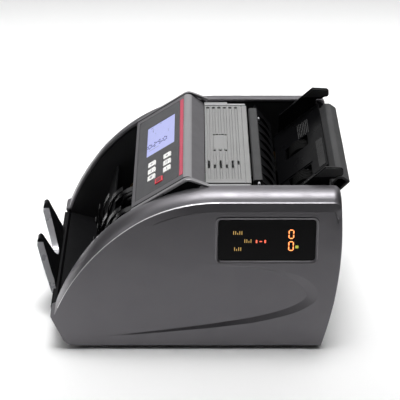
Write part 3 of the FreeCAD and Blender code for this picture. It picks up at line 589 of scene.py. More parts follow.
BAND = 9.0
GROOVE = 0.9
SWOOSH_OUTER = [(10.2, 96.7), (33.0, 95.7), (55.9, 94.1), (84.6, 90.1), (103.9, 84.5), (117.6, 75.6),
                (124.2, 65.5), (122.2, 55.4), (112.8, 47.4), (95.6, 39.4), (66.7, 31.4), (37.6, 26.8),
                (-1.4, 22.2), (-60.0, 16.4), (-89.3, 14.6)]
SWOOSH_WIDTH = [1.0, 1.3, 2.2, 4.0, 7.8, 11.0, 12.0, 10.5, 8.0, 6.6, 5.6, 4.4, 2.6, 1.2, 0.9]
RELIEF = -2.0
INNER_SKIN = 117.9
WINDOW_GAP = 0.2


def swoosh_rows():
    """Matching closed rows across the sloped edge of the raised panel, outermost first."""
    steps = 6
    outer = spline(SWOOSH_OUTER, steps)
    width = [a + (b - a) * k / steps for a, b in zip(SWOOSH_WIDTH, SWOOSH_WIDTH[1:]) for k in range(steps)]
    back = run(outer[-1], outer[0], 16)[1:-1]
    loop = (outer + back)[::-1]
    width = (width + [SWOOSH_WIDTH[-1]] * (len(back) + 1))[::-1]
    normal = normals_of(loop)
    if sum((y - 40) * ny + (z - 55) * nz for (y, z), (ny, nz) in zip(loop, normal)) < 0:
        normal = [(-a, -b) for a, b in normal]
    rows = []
    for share, lift in ((-0.1, 0.0), (0.0, 0.0), (0.05, 0.03), (0.95, 0.97), (1.0, 1.0), (1.12, 1.0)):
        rows.append(([(p[0] - n[0] * w * share, p[1] - n[1] * w * share)
                      for p, n, w in zip(loop, normal, width)], lift))
    return rows


def panel_fade(y, z):
    """The raised panel sinks to nothing towards the front."""
    return smoothstep((y - 10.0) * 0.634 + (z - 97.0) * -0.773, 0.0, 58.0)


def window_outline(outset, radius):
    """The opening for the side window, moved outward."""
    low = WINDOW_LOW.y - WINDOW_GAP, WINDOW_LOW.z - WINDOW_GAP
    high = WINDOW_HIGH.y + WINDOW_GAP, WINDOW_HIGH.z + WINDOW_GAP
    return rounded((low[0] - outset, low[1] - outset), (high[0] + outset, high[1] + outset), radius)


def side_cover(side):
    """One side: the moulded face with its band, swoosh and window, the rim and the wall's inside."""
    right = side > 0
    outline = crease_outline()
    loop = [p for p, rise in outline]
    rises = [rise for p, rise in outline]
    normal = normals_of(loop)
    top_line = sorted((p for p, rise in outline if p[1] > 38.0 and p[0] < REAR_TOP_Y - 2.0),
                      key=lambda p: p[0])
    top_line += [(REAR_TOP_Y + 1, CREASE_TOP)]

    def crease_z(y):
        return lookup(top_line, y)

    def face_x(y, z):
        return band_depth(y, z, crease_z(y)) - lean(z)

    border, clear = drawn_in(loop, 0.55), drawn_in(loop, 3.0)
    points, edges, height = [], [], {}

    def add_loop(row, closed=True, lifts=None):
        first = len(points)
        for i, p in enumerate(row):
            if lifts:
                height[len(points)] = lifts[i]
            points.append(Vector(p))
        count = len(row)
        for i in range(count if closed else count - 1):
            edges.append((first + i, first + (i + 1) % count))

    add_loop(border)
    for drop in (BAND - 0.6, BAND - 0.02, BAND + 0.15, BAND + GROOVE - 0.1, BAND + GROOVE + 0.1,
                 BAND + GROOVE + 0.8):
        row = []
        for k in range(64):
            y = -46.0 + (REAR_TOP_Y - 0.56 + 46.0) * k / 63
            corner = max(0.0, y - (REAR_TOP_Y - 6.0))
            row.append((y, crease_z(y) - drop - corner * corner * 0.1))
        row = [p for p in row if inside(p, border)]
        add_loop(row, closed=False)
    rows = swoosh_rows()
    for row, lift in rows:
        add_loop(row, lifts=[SIDE_X + RELIEF * lift * panel_fade(*p) for p in row])
    panel_outer, panel_inner = rows[0][0], rows[-1][0]
    window = []
    if right:
        window, keep_clear = window_outline(0.0, 5.0), window_outline(2, 6.0)
        for outset, lift in ((1.3, 0.0), (0.9, 0.35), (0.4, 0.55)):
            lip = window_outline(outset, 5.0 + outset)
            add_loop(lip, lifts=[SIDE_X + lift - lean(z) for y, z in lip])
        add_loop(window, lifts=[SIDE_X + 0.55 - lean(z) for y, z in window])
    for y in range(-124, 142, 8):
        for z in range(8, 162, 8):
            spot = (y + 0.3, z + 0.2)
            if not inside(spot, clear):
                continue
            if right and inside(spot, keep_clear):
                continue
            if inside(spot, panel_outer) and not inside(spot, panel_inner):
                continue
            height[len(points)] = (SIDE_X + RELIEF * panel_fade(*spot) if inside(spot, panel_inner)
                                   else face_x(*spot))
            points.append(Vector(spot))
    made, triangles, origin = triangulate(points, edges)
    bm = bmesh.new()
    verts = []
    for i, p in enumerate(made):
        known = [height[k] for k in origin[i] if k in height]
        verts.append(bm.verts.new((known[0] if known else face_x(p.x, p.y), p.x, p.y)))
    on_border = {}
    for i in range(len(made)):
        for k in origin[i]:
            if k < len(border):
                on_border[k] = verts[i]
    for face, centre in triangles:
        if not inside(centre, border) or (window and inside(centre, window)):
            continue
        new = bm.faces.new([verts[k] for k in face])
        # painted highlight: the upper part of the window's lip takes the lighter casing copy
        if window and centre.y > WINDOW_LOW.z - WINDOW_GAP + 4.0 and inside(centre, lip):
            new.material_index = 1
    drop_loose(bm)
    # the rim: rounded crease, slope, crest, inner edge, then the wall's inside
    start_x = [on_border[i].co.x for i in range(len(loop))]
    rows = []
    for dx, out, lift in ((-0.95, 0.3, 0.0), (-1.5, 0.34, 0.05)):
        row = []
        for i, p in enumerate(loop):
            y, z = rim_point(p, normal[i], rises[i], lift)
            if rises[i] < 0.2 or (p[1] < CREASE_TOP - CORNER and p[0] > 120.0):
                out = min(out, 0.0)
            row.append((start_x[i] + dx, y + normal[i][0] * out, z + normal[i][1] * out))
        rows.append(row)
    crest_x = RIM_INNER + 2.4
    for k in range(1, 12):
        share = k / 11
        lift = 0.06 + 0.94 * (1.0 - (1.0 - share) ** 2.6)
        row = []
        for i, p in enumerate(loop):
            y, z = rim_point(p, normal[i], rises[i], lift)
            x = start_x[i] - 1.5
            row.append((x + (crest_x - x) * share, y, z))
        rows.append(row)
    for x, out in ((RIM_INNER + 1.4, 0.0), (RIM_INNER + 0.4, -0.35), (RIM_INNER, -1.2),
                   (RIM_INNER, -2.6), (RIM_INNER + 0.5, -3.0), (108.0, -3.0), (INNER_SKIN, -3.6)):
        row = []
        for i, p in enumerate(loop):
            lift = 1.0 if x < 112 else 0.0
            y, z = rim_point(p, normal[i], rises[i], lift)
            row.append((x, y + normal[i][0] * out, z + normal[i][1] * out))
        rows.append(row)
    previous = [on_border[i] for i in range(len(loop))]
    for step, row in enumerate(rows):
        current = [bm.verts.new(p) for p in row]
        for i in range(len(loop)):
            j = (i + 1) % len(loop)
            face = bm.faces.new((previous[i], previous[j], current[j], current[i]))
            # painted highlight along the crease: the first row of rim faces takes the near-white and the
            # lighter casing copies
            if step == 0 and rises[i] > 0.4 and loop[i][0] < 30.0:
                face.material_index = 2 if -128.0 < loop[i][0] < 6.0 else 1
        previous = current
    # the inside of the face, with the window's pocket running through to it
    inner = [(v.co.y, v.co.z) for v in previous]
    flat, rim_edges = [Vector(p) for p in inner], [(i, (i + 1) % len(inner)) for i in range(len(inner))]
    if window:
        first = len(flat)
        tight = window_outline(-1.8, 3.4)
        flat += [Vector(p) for p in tight]
        rim_edges += [(first + i, first + (i + 1) % len(tight)) for i in range(len(tight))]
    made, triangles, origin = triangulate(flat, rim_edges)
    back = {}
    for i, p in enumerate(made):
        keys = [k for k in origin[i] if k < len(inner)]
        back[i] = previous[keys[0]] if keys else bm.verts.new((INNER_SKIN, p.x, p.y))
    for face, centre in triangles:
        if not inside(centre, inner) or (window and inside(centre, tight)):
            continue
        bm.faces.new([back[k] for k in face])
    drop_loose(bm)
    if window:
        rows = [[(SIDE_X + 0.55 - lean(z), y, z) for y, z in window]]
        for inset, x, radius in ((0.5, SIDE_X + 0.3, 4.6), (1.6, SIDE_X - 0.9, 3.6), (1.8, SIDE_X - 1.8, 3.4),
                                 (1.8, INNER_SKIN, 3.4)):
            ring = window_outline(-inset, radius)
            rows.append([(min(x, SIDE_X + 0.3 - lean(z)), y, z) for y, z in ring])
        ring_stack(bm, rows)
        bmesh.ops.remove_doubles(bm, verts=bm.verts, dist=0.004)
    if not right:
        for vert in bm.verts:
            vert.co.x = -vert.co.x
    name = "side_cover_" + HAND[side]
    make("casing_" + name, bm, ["casing", "casing_light", "edge"], nodes=[name], smooth=32.0)


def seven_segment(bm, place, low, size, figure, thick, depth):
    """The lit bars of one figure, as long hexagons; place turns (across, up, out) into a point."""
    wide, tall = size
    bars = {"a": ((0, tall), (wide, tall)), "b": ((wide, tall), (wide, tall / 2)),
            "c": ((wide, tall / 2), (wide, 0)),
            "d": ((0, 0), (wide, 0)), "e": ((0, tall / 2), (0, 0)), "f": ((0, tall), (0, tall / 2)),
            "g": ((0, tall / 2), (wide, tall / 2))}
    shown = {"0": "abcdef", "2": "abged", "5": "afgcd"}
    for key in shown[figure]:
        (ax, ay), (bx, by) = bars[key]
        run_x, run_y = bx - ax, by - ay
        length = math.hypot(run_x, run_y)
        ux, uy = run_x / length, run_y / length
        gap, half = thick * 0.35, thick / 2
        outline = []
        for along, across in ((gap, 0), (gap + half, half), (length - gap - half, half), (length - gap, 0),
                              (length - gap - half, -half), (gap + half, -half)):
            outline.append((low[0] + ax + ux * along - uy * across, low[1] + ay + uy * along + ux * across))
        polygon_prism(bm, outline, "z", -depth, depth, 0, place)


def bar_on(bm, place, low, high, depth, material=0, round_off=0.0):
    """A small printed or lit mark between two corners in a piece's own plane."""
    outline = rounded(low, high, round_off, 4) if round_off else rectangle(low, high)
    polygon_prism(bm, outline, "z", -depth, depth, material, place)


def side_window():
    """The smoked window in the right cover, with the lit figures and marks behind it."""
    face = WINDOW_HIGH.x - 2.0
    bm = bmesh.new()
    low, high = (WINDOW_LOW.y + 1.7, WINDOW_LOW.z + 1.7), (WINDOW_HIGH.y - 1.7, WINDOW_HIGH.z - 1.7)
    polygon_prism(bm, rounded(low, high, 3.3), "x", face - 1.6, face)
    make("side_window_lens", bm, "window", nodes=["side_display_window"], bevel=0.35)

    def place(u, v, out):
        return (face + out, u, v)

    bm = bmesh.new()
    left = WINDOW_LOW.y + 68.7
    for bottom, tall in ((111.4, 9.4), (124.4, 8.9)):
        seven_segment(bm, place, (left, bottom), (4.3, tall), "0", 1.0, 0.06)
    bar_on(bm, place, (left + 6.2, 113.6), (left + 9.2, 116.6), 0.06, 1, 0.5)
    for y, z, bars in ((41.5, 128.4, (3.8, 3.8, 2.0, 3.8, 3.8)), (52.2, 119.6, (3.8, 3.8, 2.0, 3.8)),
                       (42.6, 110.8, (3.8, 2.0, 3.8, 3.8))):
        for k, tall in enumerate(bars):
            bar_on(bm, place, (y + k * 1.95, z), (y + k * 1.95 + 0.7, z + tall), 0.06, 2, 0.2)
    for k, wide in enumerate((1.5, 2.6, 1.5)):
        start = 62.9 + (0, 3.5, 8.2)[k]
        tall = (1.7, 0.55, 1.7)[k]
        bar_on(bm, place, (start, 121.0 - tall), (start + wide, 121.0 + tall), 0.06, 3, 0.5)
    make("side_window_figures", bm, ["orange", "lime", "amber", "red_led"], smooth=30.0)


# ---------------------------------------------------------------- display unit

PANEL_COS, PANEL_SIN = math.cos(PANEL_ANGLE), math.sin(PANEL_ANGLE)


def on_panel(x, distance, height):
    """A place on the display's slope: across, up the slope from its front edge, above its face."""
    return (x, PANEL_Y + PANEL_COS * distance - PANEL_SIN * height,
            PANEL_Z + PANEL_SIN * distance + PANEL_COS * height)


def display_section(inset, back=(15.0, 166.5), heel=(15.0, 150.0)):
    """The roof-shaped section, its ridge rounded, drawn in by inset; back and heel end its rear slope."""
    ridge = on_panel(0, 64.4, 0)[1:]
    front = on_panel(0, 0.0, 0)[1:]
    under = on_panel(0, 0.0, -7.0)[1:]
    before = on_panel(0, 59.6, 0)[1:]
    share = 5.0 / math.hypot(back[0] - ridge[0], back[1] - ridge[1])
    after = (ridge[0] + (back[0] - ridge[0]) * share, ridge[1] + (back[1] - ridge[1]) * share)
    crown = []
    for k in range(9):
        t = k / 8
        crown.append(((1 - t) ** 2 * before[0] + 2 * t * (1 - t) * ridge[0] + t * t * after[0],
                      (1 - t) ** 2 * before[1] + 2 * t * (1 - t) * ridge[1] + t * t * after[1]))
    loop = [(-30.0, 150.0), heel, back] + crown[::-1] + [front, under]
    return drawn_in(loop, inset) if inset else loop


LIP_BACK = (18.6, 170.6)
LIP_HEEL = (18.6, 160.0)
CROWN = 175.9


def display_unit():
    """The roof over the mouth, its dark cheeks and the lighter lips round them."""
    half, cheek, side_end = 95.2, 98.4, 101.4
    body = extruded("display_body", ["casing", "casing_light"], [(display_section(0.0), "x", -half, half)],
                    ["display_housing"], bevel=0.5, smooth=40.0)
    cutter = bmesh.new()
    block(cutter, (BEZEL_LOW.x - 0.25, 3.7, -2.2), (BEZEL_HIGH.x + 0.25, 53.7, 8.0), on_panel)
    block(cutter, (BEZEL_LOW.x - 0.1, 54.45, -1.0), (BEZEL_HIGH.x + 0.1, 58.95, 8.0), on_panel)
    carve(body, cutter)
    # painted highlight: the upward faces along the crown take the lighter casing copy
    for face in body.data.polygons:
        if face.center.z > CROWN * MM and face.normal.z > 0.7:
            face.material_index = 1
    for side in HAND:
        # a dark cheek set back from the skin, and a lighter lip that runs round its edge
        extruded("display_cheek_" + HAND[side], "black", [
            (display_section(0.3), "x", side * (half - 0.5), side * cheek),
            (display_section(1.4), "x", side * cheek, side * side_end)], bevel=0.3)
        bm = bmesh.new()
        rows = []
        for inset, x in ((0.0, 97.6), (0.0, 100.9), (0.5, 101.9), (2.2, 101.9), (3.0, 101.2), (3.0, 97.6)):
            rows.append([(side * x, y, z) for y, z in display_section(inset, LIP_BACK, LIP_HEEL)])
        ring_stack(bm, rows + [rows[0]])
        make("display_lip_" + HAND[side], bm, "casing_light", nodes=["display_trim_" + HAND[side]],
             merge=0.001, smooth=40.0)


def carve(thing, cutter):
    """Cuts a drawn shape out of a piece."""
    bmesh.ops.recalc_face_normals(cutter, faces=cutter.faces)
    resize(cutter, MM)
    mesh = bpy.data.meshes.new("cutter")
    cutter.to_mesh(mesh)
    cutter.free()
    tool = put("cutter", mesh)
    thing.modifiers.clear()
    hollow = thing.modifiers.new("carve", "BOOLEAN")
    hollow.object = tool
    hollow.operation = "DIFFERENCE"
    hollow.solver = "EXACT"
    settle(thing)
    bpy.data.objects.remove(tool)
    bpy.data.meshes.remove(mesh)


def display_face():
    """The dark film panel with its screen opening, the red line, the screen and the keys."""
    outline = rounded((BEZEL_LOW.x + 0.1, 4.0), (BEZEL_HIGH.x - 0.1, 53.4), 1.6, 4)
    panel = extruded("display_panel", "bezel", [(outline, "z", -2.0, 0.0)], ["display_bezel"], on_panel,
                     bevel=0.3)
    cutter = bmesh.new()
    polygon_prism(cutter, rounded((LCD_LOW.x, 14.4), (LCD_HIGH.x, 48.1), 0.8, 3), "z", -4.0, 2.0, 0, on_panel)
    for name, x, distance in KEYS:
        hole = rounded((x - 0.3, distance - 0.3), (x + 10.7, distance + 8.9), 1.1, 3)
        polygon_prism(cutter, hole, "z", -4.0, 2.0, 0, on_panel)
    carve(panel, cutter)
    line = rounded((BEZEL_LOW.x + 0.2, 54.7), (BEZEL_HIGH.x - 0.2, 58.7), 0.8, 3)
    extruded("display_red_line", "stripe", [(line, "z", -0.9, 0.2)], ["display_stripe"], on_panel, bevel=0.25)
    # the screen, its lit face a little below the film
    screen = rounded((LCD_LOW.x + 0.1, 14.5), (LCD_HIGH.x - 0.1, 48.0), 0.8, 3)
    extruded("display_screen", "lcd", [(screen, "z", -1.9, -0.5)], ["lcd_lens"], on_panel, bevel=0.1)
    bm = bmesh.new()

    def on_screen(u, v, out):
        return on_panel(u, v, -0.5 + out)

    def across_screen(u, v, out):
        return on_panel(-v, u, -0.5 + out)

    for i, figure in enumerate("0250"):
        seven_segment(bm, across_screen, (15.8 + i * 6.1, 13.4), (4.0, 8.0), figure, 2.3, 0.06)
    for u, v, wide, tall in ((-56.0, 20.6, 7.4, 1.6), (-60.6, 29.4, 2.2, 2.2), (-60.0, 18.0, 2.0, 3.2),
                             (-44.0, 24.0, 3.4, 0.8), (-36.0, 40.0, 6.0, 0.8), (-9.0, 17.0, 1.6, 12.0)):
        bar_on(bm, on_screen, (u, v), (u + wide, v + tall), 0.05, 1)
    make("display_figures", bm, ["lcd_ink", "lcd_faint"], smooth=30.0)


KEYS = [(f"key_{row}_{i}", x, distance) for row, distance in (("front", 18.0), ("rear", 36.0))
        for i, x in enumerate((22.4, 37.2, 51.4), start=1)] + [("key_reset", 65.6, 27.0)]
KEY_MARKS = {
    "key_front_1": [(-2.4, -0.35, 2.4, 0.35), (-0.35, -1.8, 0.35, 1.8)],
    "key_front_2": [(-2.4, -0.35, 2.4, 0.35)],
    "key_front_3": [(-2.0, -1.6, -1.2, 1.6), (-0.6, -1.6, 0.2, 1.6), (0.8, -1.6, 2.4, 1.6)],
    "key_rear_1": [(-1.2, -1.2, 1.2, 1.2)],
    "key_rear_2": [(-2.6, 0.5, 2.6, 1.1), (-2.6, -1.1, 2.6, -0.5)],
    "key_rear_3": [(-2.6, -0.4, -1.2, 0.4), (-0.6, -0.4, 0.6, 0.4), (1.2, -0.4, 2.6, 0.4)],
    "key_reset": [(-3.7, -2.8, 3.7, 2.8)],
}


def key_caps():
    """Seven pressed caps with soft edges and a faintly dished top, each on its own body."""
    for name, x, distance in KEYS:
        colours = ["key_red", "key_deep"] if name == "key_reset" else ["key_white", "key_mark"]
        bm = bmesh.new()
        rows = []
        for inset, height in ((0.0, -2.4), (0.0, 0.45), (0.12, 0.75), (0.4, 0.9), (1.6, 0.88), (3.4, 0.8)):
            ring = rounded((x + inset, distance + inset), (x + 10.4 - inset, distance + 8.6 - inset),
                           max(0.9 - inset * 0.3, 0.25), 4)
            rows.append([on_panel(u, v, height) for u, v in ring])
        ring_stack(bm, rows, ends=True)
        cx, cy = x + 5.2, distance + 4.3
        for a, b, c, e in KEY_MARKS[name]:
            bar_on(bm, lambda u, v, out: on_panel(u, v, 0.84 + out), (cx + a, cy + b), (cx + c, cy + e), 0.1,
                   1)
        make(name + "_cap", bm, colours, name, [name], smooth=30.0)


# ---------------------------------------------------------------- vent cover

VENT_PITCH = 5.8
GROOVES = [19.0 + VENT_PITCH * i for i in range(6)]


def vent_cover():
    """The light louvred cover: shallow channels along X, a fine gap down each edge, and a blank square."""
    top = VENT_HIGH.z
    low_y, high_y = VENT_LOW.y, VENT_HIGH.y
    half, left_edge, right_edge = 88.0, -84.4, 80.8
    square_x, square_y = (-16.6, 14.4), (GROOVES[1], GROOVES[3])
    border = high_y - 5.4
    ys = [low_y, low_y + 0.5, high_y - 0.5, high_y, border - 0.3, border + 0.3, border - 0.5, border + 0.5]
    for g in GROOVES:
        ys += [g + d for d in (-1.75, -1.65, -0.95, -0.85, 0.95, 1.05, 1.55, 1.65)]
    ys = sorted(round(y, 3) for y in ys)
    xs = [-half, -half + 0.5, left_edge, -84.2, -40.0, -19.1, -18.9, square_x[0], square_x[0] + 0.2, 0.0,
          square_x[1] - 0.2, square_x[1], 16.0, 16.2, 40.0, 80.6, right_edge, half - 0.5, half]

    def depth(x, y):
        if abs(y - border) < 0.35:
            return 0.9
        if x <= left_edge or x >= right_edge:
            return 0.0
        in_square = square_x[0] <= x <= square_x[1] and square_y[0] + 0.9 < y < square_y[1] - 0.9
        if in_square or y > GROOVES[-1] + 1.64:
            return 0.0
        away = y - min(GROOVES, key=lambda g: abs(g - y))
        if -1.66 <= away <= -0.94 or 1.04 <= away <= 1.56:
            return 1.5
        return 0.35 if -0.9 < away < 1.0 else 0.0

    bm = bmesh.new()
    rows = []
    for x in xs:
        pull = abs(x) > half - 0.1
        row = []
        for y in ys:
            edge = 0.45 if pull or y in (ys[0], ys[-1]) else 0.0
            row.append((x, y, top - depth(x, y) - edge))
        row += [(x, high_y, top - 3.0), (x, low_y, top - 3.0)]
        rows.append(row)
    ring_stack(bm, rows, ends=True)
    cover = make("vent_top", bm, "vent", nodes=["vent_cover"], smooth=30.0)
    cutter = bmesh.new()

    def slot(x0, x1, y, wide):
        outline = rounded((x0, y - wide / 2), (x1, y + wide / 2), wide / 2 - 0.05, 3)
        polygon_prism(cutter, outline, "z", top - 5.0, top + 2.0)

    for g in [GROOVES[0] - VENT_PITCH] + GROOVES:
        slot(-84.6, -81.2, g, 2.1)
    for g in GROOVES[1:4]:
        slot(16.0, 19.2, g, 2.1)
    block(cutter, (-19.0, square_y[0] - 0.9, top - 5.0), (-16.6, square_y[1] + 0.9, top + 2.0))
    for i, g in enumerate(GROOVES):
        start, end = ((40.6, 57.2), (49.0, 57.2), (40.2, 57.2), (49.0, 57.2), (40.6, 57.2), (41.0, 49.6))[i]
        slot(start, end, g, 1.8)
    slot(39.0, 47.6, GROOVES[0] - VENT_PITCH + 1.2, 1.8)
    carve(cover, cutter)
    cover.modifiers.clear()
    # side ledges that reach the rims, past a gap whose shallow floor is a black block of painted shade
    for side in (-1, 1):
        gap, inner, wide, narrow = side * 87.8, side * 90.4, side * 97.5, side * 94.0
        extruded("vent_ledge_" + HAND[side], "trim", [
            (rounded((min(inner, x), y0), (max(inner, x), y1), 0.6, 3), "z", top - 3.4, top - 0.5)
            for x, y0, y1 in ((wide, low_y, low_y + 24.0), (narrow, low_y + 23.0, high_y - 1.0))], bevel=0.25)
        # painted shade: a black block set just under the top fills the gap
        bm = bmesh.new()
        block(bm, (min(gap, inner), low_y + 0.2, top - 3.3), (max(gap, inner), high_y - 1.2, top - 0.85))
        make("vent_gap_painted_shade_" + HAND[side], bm, "black")


# ---------------------------------------------------------------- hopper

HOP_COS, HOP_SIN = math.cos(HOPPER_ANGLE), math.sin(HOPPER_ANGLE)
HOP_Y, HOP_Z = PLATE_LOW.y + 1.61, 127.4


def on_hopper(x, distance, height):
    """A place on the inclined plate: across, up from its low end, above its face."""
    return (x, HOP_Y + HOP_COS * distance - HOP_SIN * height, HOP_Z + HOP_SIN * distance + HOP_COS * height)


def hopper_plate():
    """The inclined sheet, its raised middle panel, gripping patches and the roller slots."""
    bm = bmesh.new()
    block(bm, (-INNER_HALF, 0.0, -2.5), (INNER_HALF, 60.0, 0.0), on_hopper)
    sheet = make("hopper_sheet", bm, "deep_black", nodes=["hopper_plate"], bevel=0.4)
    cutter = bmesh.new()
    for x in (-46.0, 22.0):
        polygon_prism(cutter, rounded((x, 12.6), (x + 24.0, 41.5), 2.0, 4), "z", -6.0, 6.0, 0, on_hopper)
    carve(sheet, cutter)
    extruded("hopper_raised_panel", "deep_black", [
        ([(-27.0, 43.6), (-27.0, 60.5), (49.0, 60.5), (49.0, 43.6)], "z", -0.2, 1.0),
        ([(-20.0, 1.0), (-20.0, 44.0), (20.0, 44.0), (20.0, 1.0)], "z", -0.2, 0.9)], (), on_hopper,
        bevel=0.35)
    pad = rounded((-14.0, 50.4), (44.0, 58.6), 1.2, 3)
    extruded("hopper_top_pad", "gloss_black", [(pad, "z", 0.9, 1.35)], (), on_hopper, bevel=0.2)
    bm = bmesh.new()
    for side in (-1, 1):
        for i in range(11):
            for j in range(7):
                x = side * (49.0 + i * 2.8 + (1.4 if j % 2 else 0.0))
                t = 31.0 + j * 2.1
                base = [(x - 1.0, t), (x, t + 0.8), (x + 1.0, t), (x, t - 0.8)]
                low = [bm.verts.new(on_hopper(u, v, -0.05)) for u, v in base]
                peak = bm.verts.new(on_hopper(x, t, 0.6))
                for k in range(4):
                    bm.faces.new((low[k], low[(k + 1) % 4], peak))
                bm.faces.new(low[::-1])
    make("hopper_grip_pips", bm, "gloss_black", smooth=10.0)


def hopper_front():
    """The bar across the mouth, the wall that runs down from it and its curved ribs."""
    low, high = 61.2, 70.2
    top = 167.0
    section = [(low, top - 7.0), (low, top - 1.5), (low + 1.3, top - 0.2), (low + 2.2, top - 0.2),
               (low + 2.5, top), (high - 0.9, top), (high, top - 0.9), (high, top - 7.0)]
    extruded("hopper_bar", "bar", [(section, "x", -82.0, 82.0)], ["hopper_front_wall"], bevel=0.3)
    wall = [(86.0, 141.0), (69.0, 163.5), (67.0, 162.0), (84.0, 139.5)]
    extruded("hopper_wall", "black", [(wall, "x", -INNER_HALF, INNER_HALF)], bevel=0.3)
    bm = bmesh.new()
    for i in range(9):
        x = -76.9 + 19.0 * i
        foot, head = (86.0, 141.0), (70.0, 162.1)
        outline = [foot, head]
        for k in range(7):
            t = k / 6
            y = head[0] + (foot[0] - head[0]) * t
            z = head[1] + (foot[1] - head[1]) * t
            swell = 2.3 * math.sin(math.pi * min(t * 1.15, 1.0)) + 0.4
            outline.append((y + 0.80 * swell, z + 0.60 * swell))
        polygon_prism(bm, [(p[0] - 0.4, p[1] - 0.3) for p in outline[:2]] + outline[2:], "x", x, x + 1.8)
    make("hopper_ribs", bm, "deep_black", bevel=0.25)
    bm = bmesh.new()
    for x, y, z in ((-64.0, 71.2, 163.6), (86.0, 66.5, 165.6)):
        turned(bm, [(x, 0.01), (x, 1.1), (x + 0.3, 1.4), (x + 4.0, 1.4), (x + 4.3, 1.1), (x + 4.3, 0.01)],
               (y, z), 20)
    make("hopper_pins", bm, "steel", smooth=40.0, merge=0.03)


def rear_beam():
    """The channel the guides hook over: a faceted hood, open at its ends, with a lip."""
    outer = [(134.0, 162.0), (144.0, 155.9), (153.0, 165.2), (153.2, 166.4), (147.2, 170.9), (145.4, 171.5),
             (141.6, 171.5), (140.4, 170.7)]
    inner = [(137.2, 162.6), (143.6, 158.7), (149.4, 164.9), (149.5, 166.1), (145.9, 168.6), (144.8, 168.9),
             (142.4, 168.9), (141.6, 168.5)]
    bm = bmesh.new()
    turns = ((outer, -84.0), (outer, 84.0), (inner, 84.0), (inner, -84.0), (outer, -84.0))
    ring_stack(bm, [[(x, y, z) for y, z in loop] for loop, x in turns])
    make("rear_beam_hood", bm, "bar", nodes=["rear_beam"], bevel=0.55, segments=3, merge=0.001, smooth=44.0)
    extruded("rear_beam_webs", "black", [(inner, "x", side * 58.0, side * 59.6) for side in (-1, 1)])


def hopper_guides():
    """Thin guide plates, each with a thickened rim and a hook over the beam."""
    outline = [(94.0, 134.1), (133.2, 167.0), (133.2, 173.2), (138.2, 173.2), (140.6, 175.4), (144.8, 176.2),
               (145.9, 178.6), (145.6, 183.6), (143.4, 185.2), (128.4, 186.0), (94.0, 154.2)]
    tab = [(118.6, 175.2), (131.4, 175.6), (138.0, 175.8), (140.2, 177.2), (144.2, 178.0), (144.9, 179.2),
           (144.6, 183.0), (142.9, 184.2), (128.8, 185.0)]
    for side, hand in HAND.items():
        body = "hopper_guide_" + hand
        x0, x1 = (GUIDE_LOW.x, GUIDE_HIGH.x) if side > 0 else (-GUIDE_HIGH.x, -GUIDE_LOW.x)
        extruded("guide_plate_" + hand, "gloss_black", [(outline, "x", x0, x1)], [body], None, body,
                 bevel=0.6, segments=3)
        tabs = [(tab, "x", x0 - 0.5, x0 + 0.2), (tab, "x", x1 - 0.2, x1 + 0.5)]
        extruded("guide_tab_" + hand, "charcoal", tabs, (), None, body, bevel=0.3)


# ---------------------------------------------------------------- stacker

def prong_plate():
    """The two-pronged catch plate: black inside and at the tips, silver on its edges and outer face."""
    outer_line = [(25.0, -133.0), (28.0, -138.6), (45.0, -144.2), (60.0, -149.2), (73.5, -153.2),
                  (78.5, -152.6), (81.7, -149.8)]
    inner_line = [(25.0, -132.4), (36.0, -135.4), (40.0, -135.8), (47.0, -138.5), (60.0, -142.2),
                  (72.0, -145.8), (79.0, -147.8), (81.7, -149.2)]
    half = [(0.0, 40.6), (4.4, 41.0), (9.5, 44.6), (15.0, 51.5), (21.0, 61.5), (27.0, 72.0), (31.6, 79.4),
            (34.6, 81.6),
            (38.6, 81.6), (41.6, 79.6), (43.4, 75.0), (47.2, 66.0), (52.0, 54.5), (57.5, 41.0), (61.6, 31.0),
            (62.2, 27.0), (62.0, 25.0)]
    shape = spline(half, 4)
    loop = shape + [(-x, z) for x, z in shape[::-1]][:-1]
    bm = bmesh.new()
    count = len(loop)
    normal = normals_of(loop[::-1])[::-1]
    rows = []
    # each row is drawn in from the outline by an inset and lies a share of the way to the inner face
    for share, inset in ((0.0, 1.0), (0.0, 0.3), (0.08, 0.0), (0.92, 0.0), (1.0, 0.3), (1.0, 0.9)):
        row = []
        for (x, z), n in zip(loop, normal):
            x, z = x - n[0] * inset, z - n[1] * inset
            front, back = lookup(outer_line, z), lookup(inner_line, z)
            row.append((x, front + (back - front) * share, z))
        rows.append(row)
    loops = ring_stack(bm, rows)
    for ring, line, material in ((loops[0], outer_line, 0), (loops[-1], inner_line, 1)):
        flat = [Vector((v.co.x, v.co.z)) for v in ring]
        outline = [(p.x, p.y) for p in flat]
        edges = [(i, (i + 1) % count) for i in range(count)]
        for z in range(28, 80, 3):
            for x in range(-60, 61, 4):
                if inside((x + 0.2, z + 0.1), outline):
                    near = min(math.hypot(x + 0.2 - p[0], z + 0.1 - p[1]) for p in outline)
                    if near > 1.2:
                        flat.append(Vector((x + 0.2, z + 0.1)))
        made, triangles, origin = triangulate(flat, edges)
        known = {}
        for i, p in enumerate(made):
            keys = [k for k in origin[i] if k < count]
            known[i] = ring[keys[0]] if keys else bm.verts.new((p.x, lookup(line, p.y), p.y))
        for face, centre in triangles:
            if inside(centre, outline):
                new = bm.faces.new([known[k] for k in face])
                new.material_index = material
    drop_loose(bm)
    for face in bm.faces:
        centre = face.calc_center_median()
        if centre.z > 76.5:
            face.material_index = 1
    make("prong_plate", bm, ["prong", "black"], nodes=["stacker_plate"], smooth=44.0)


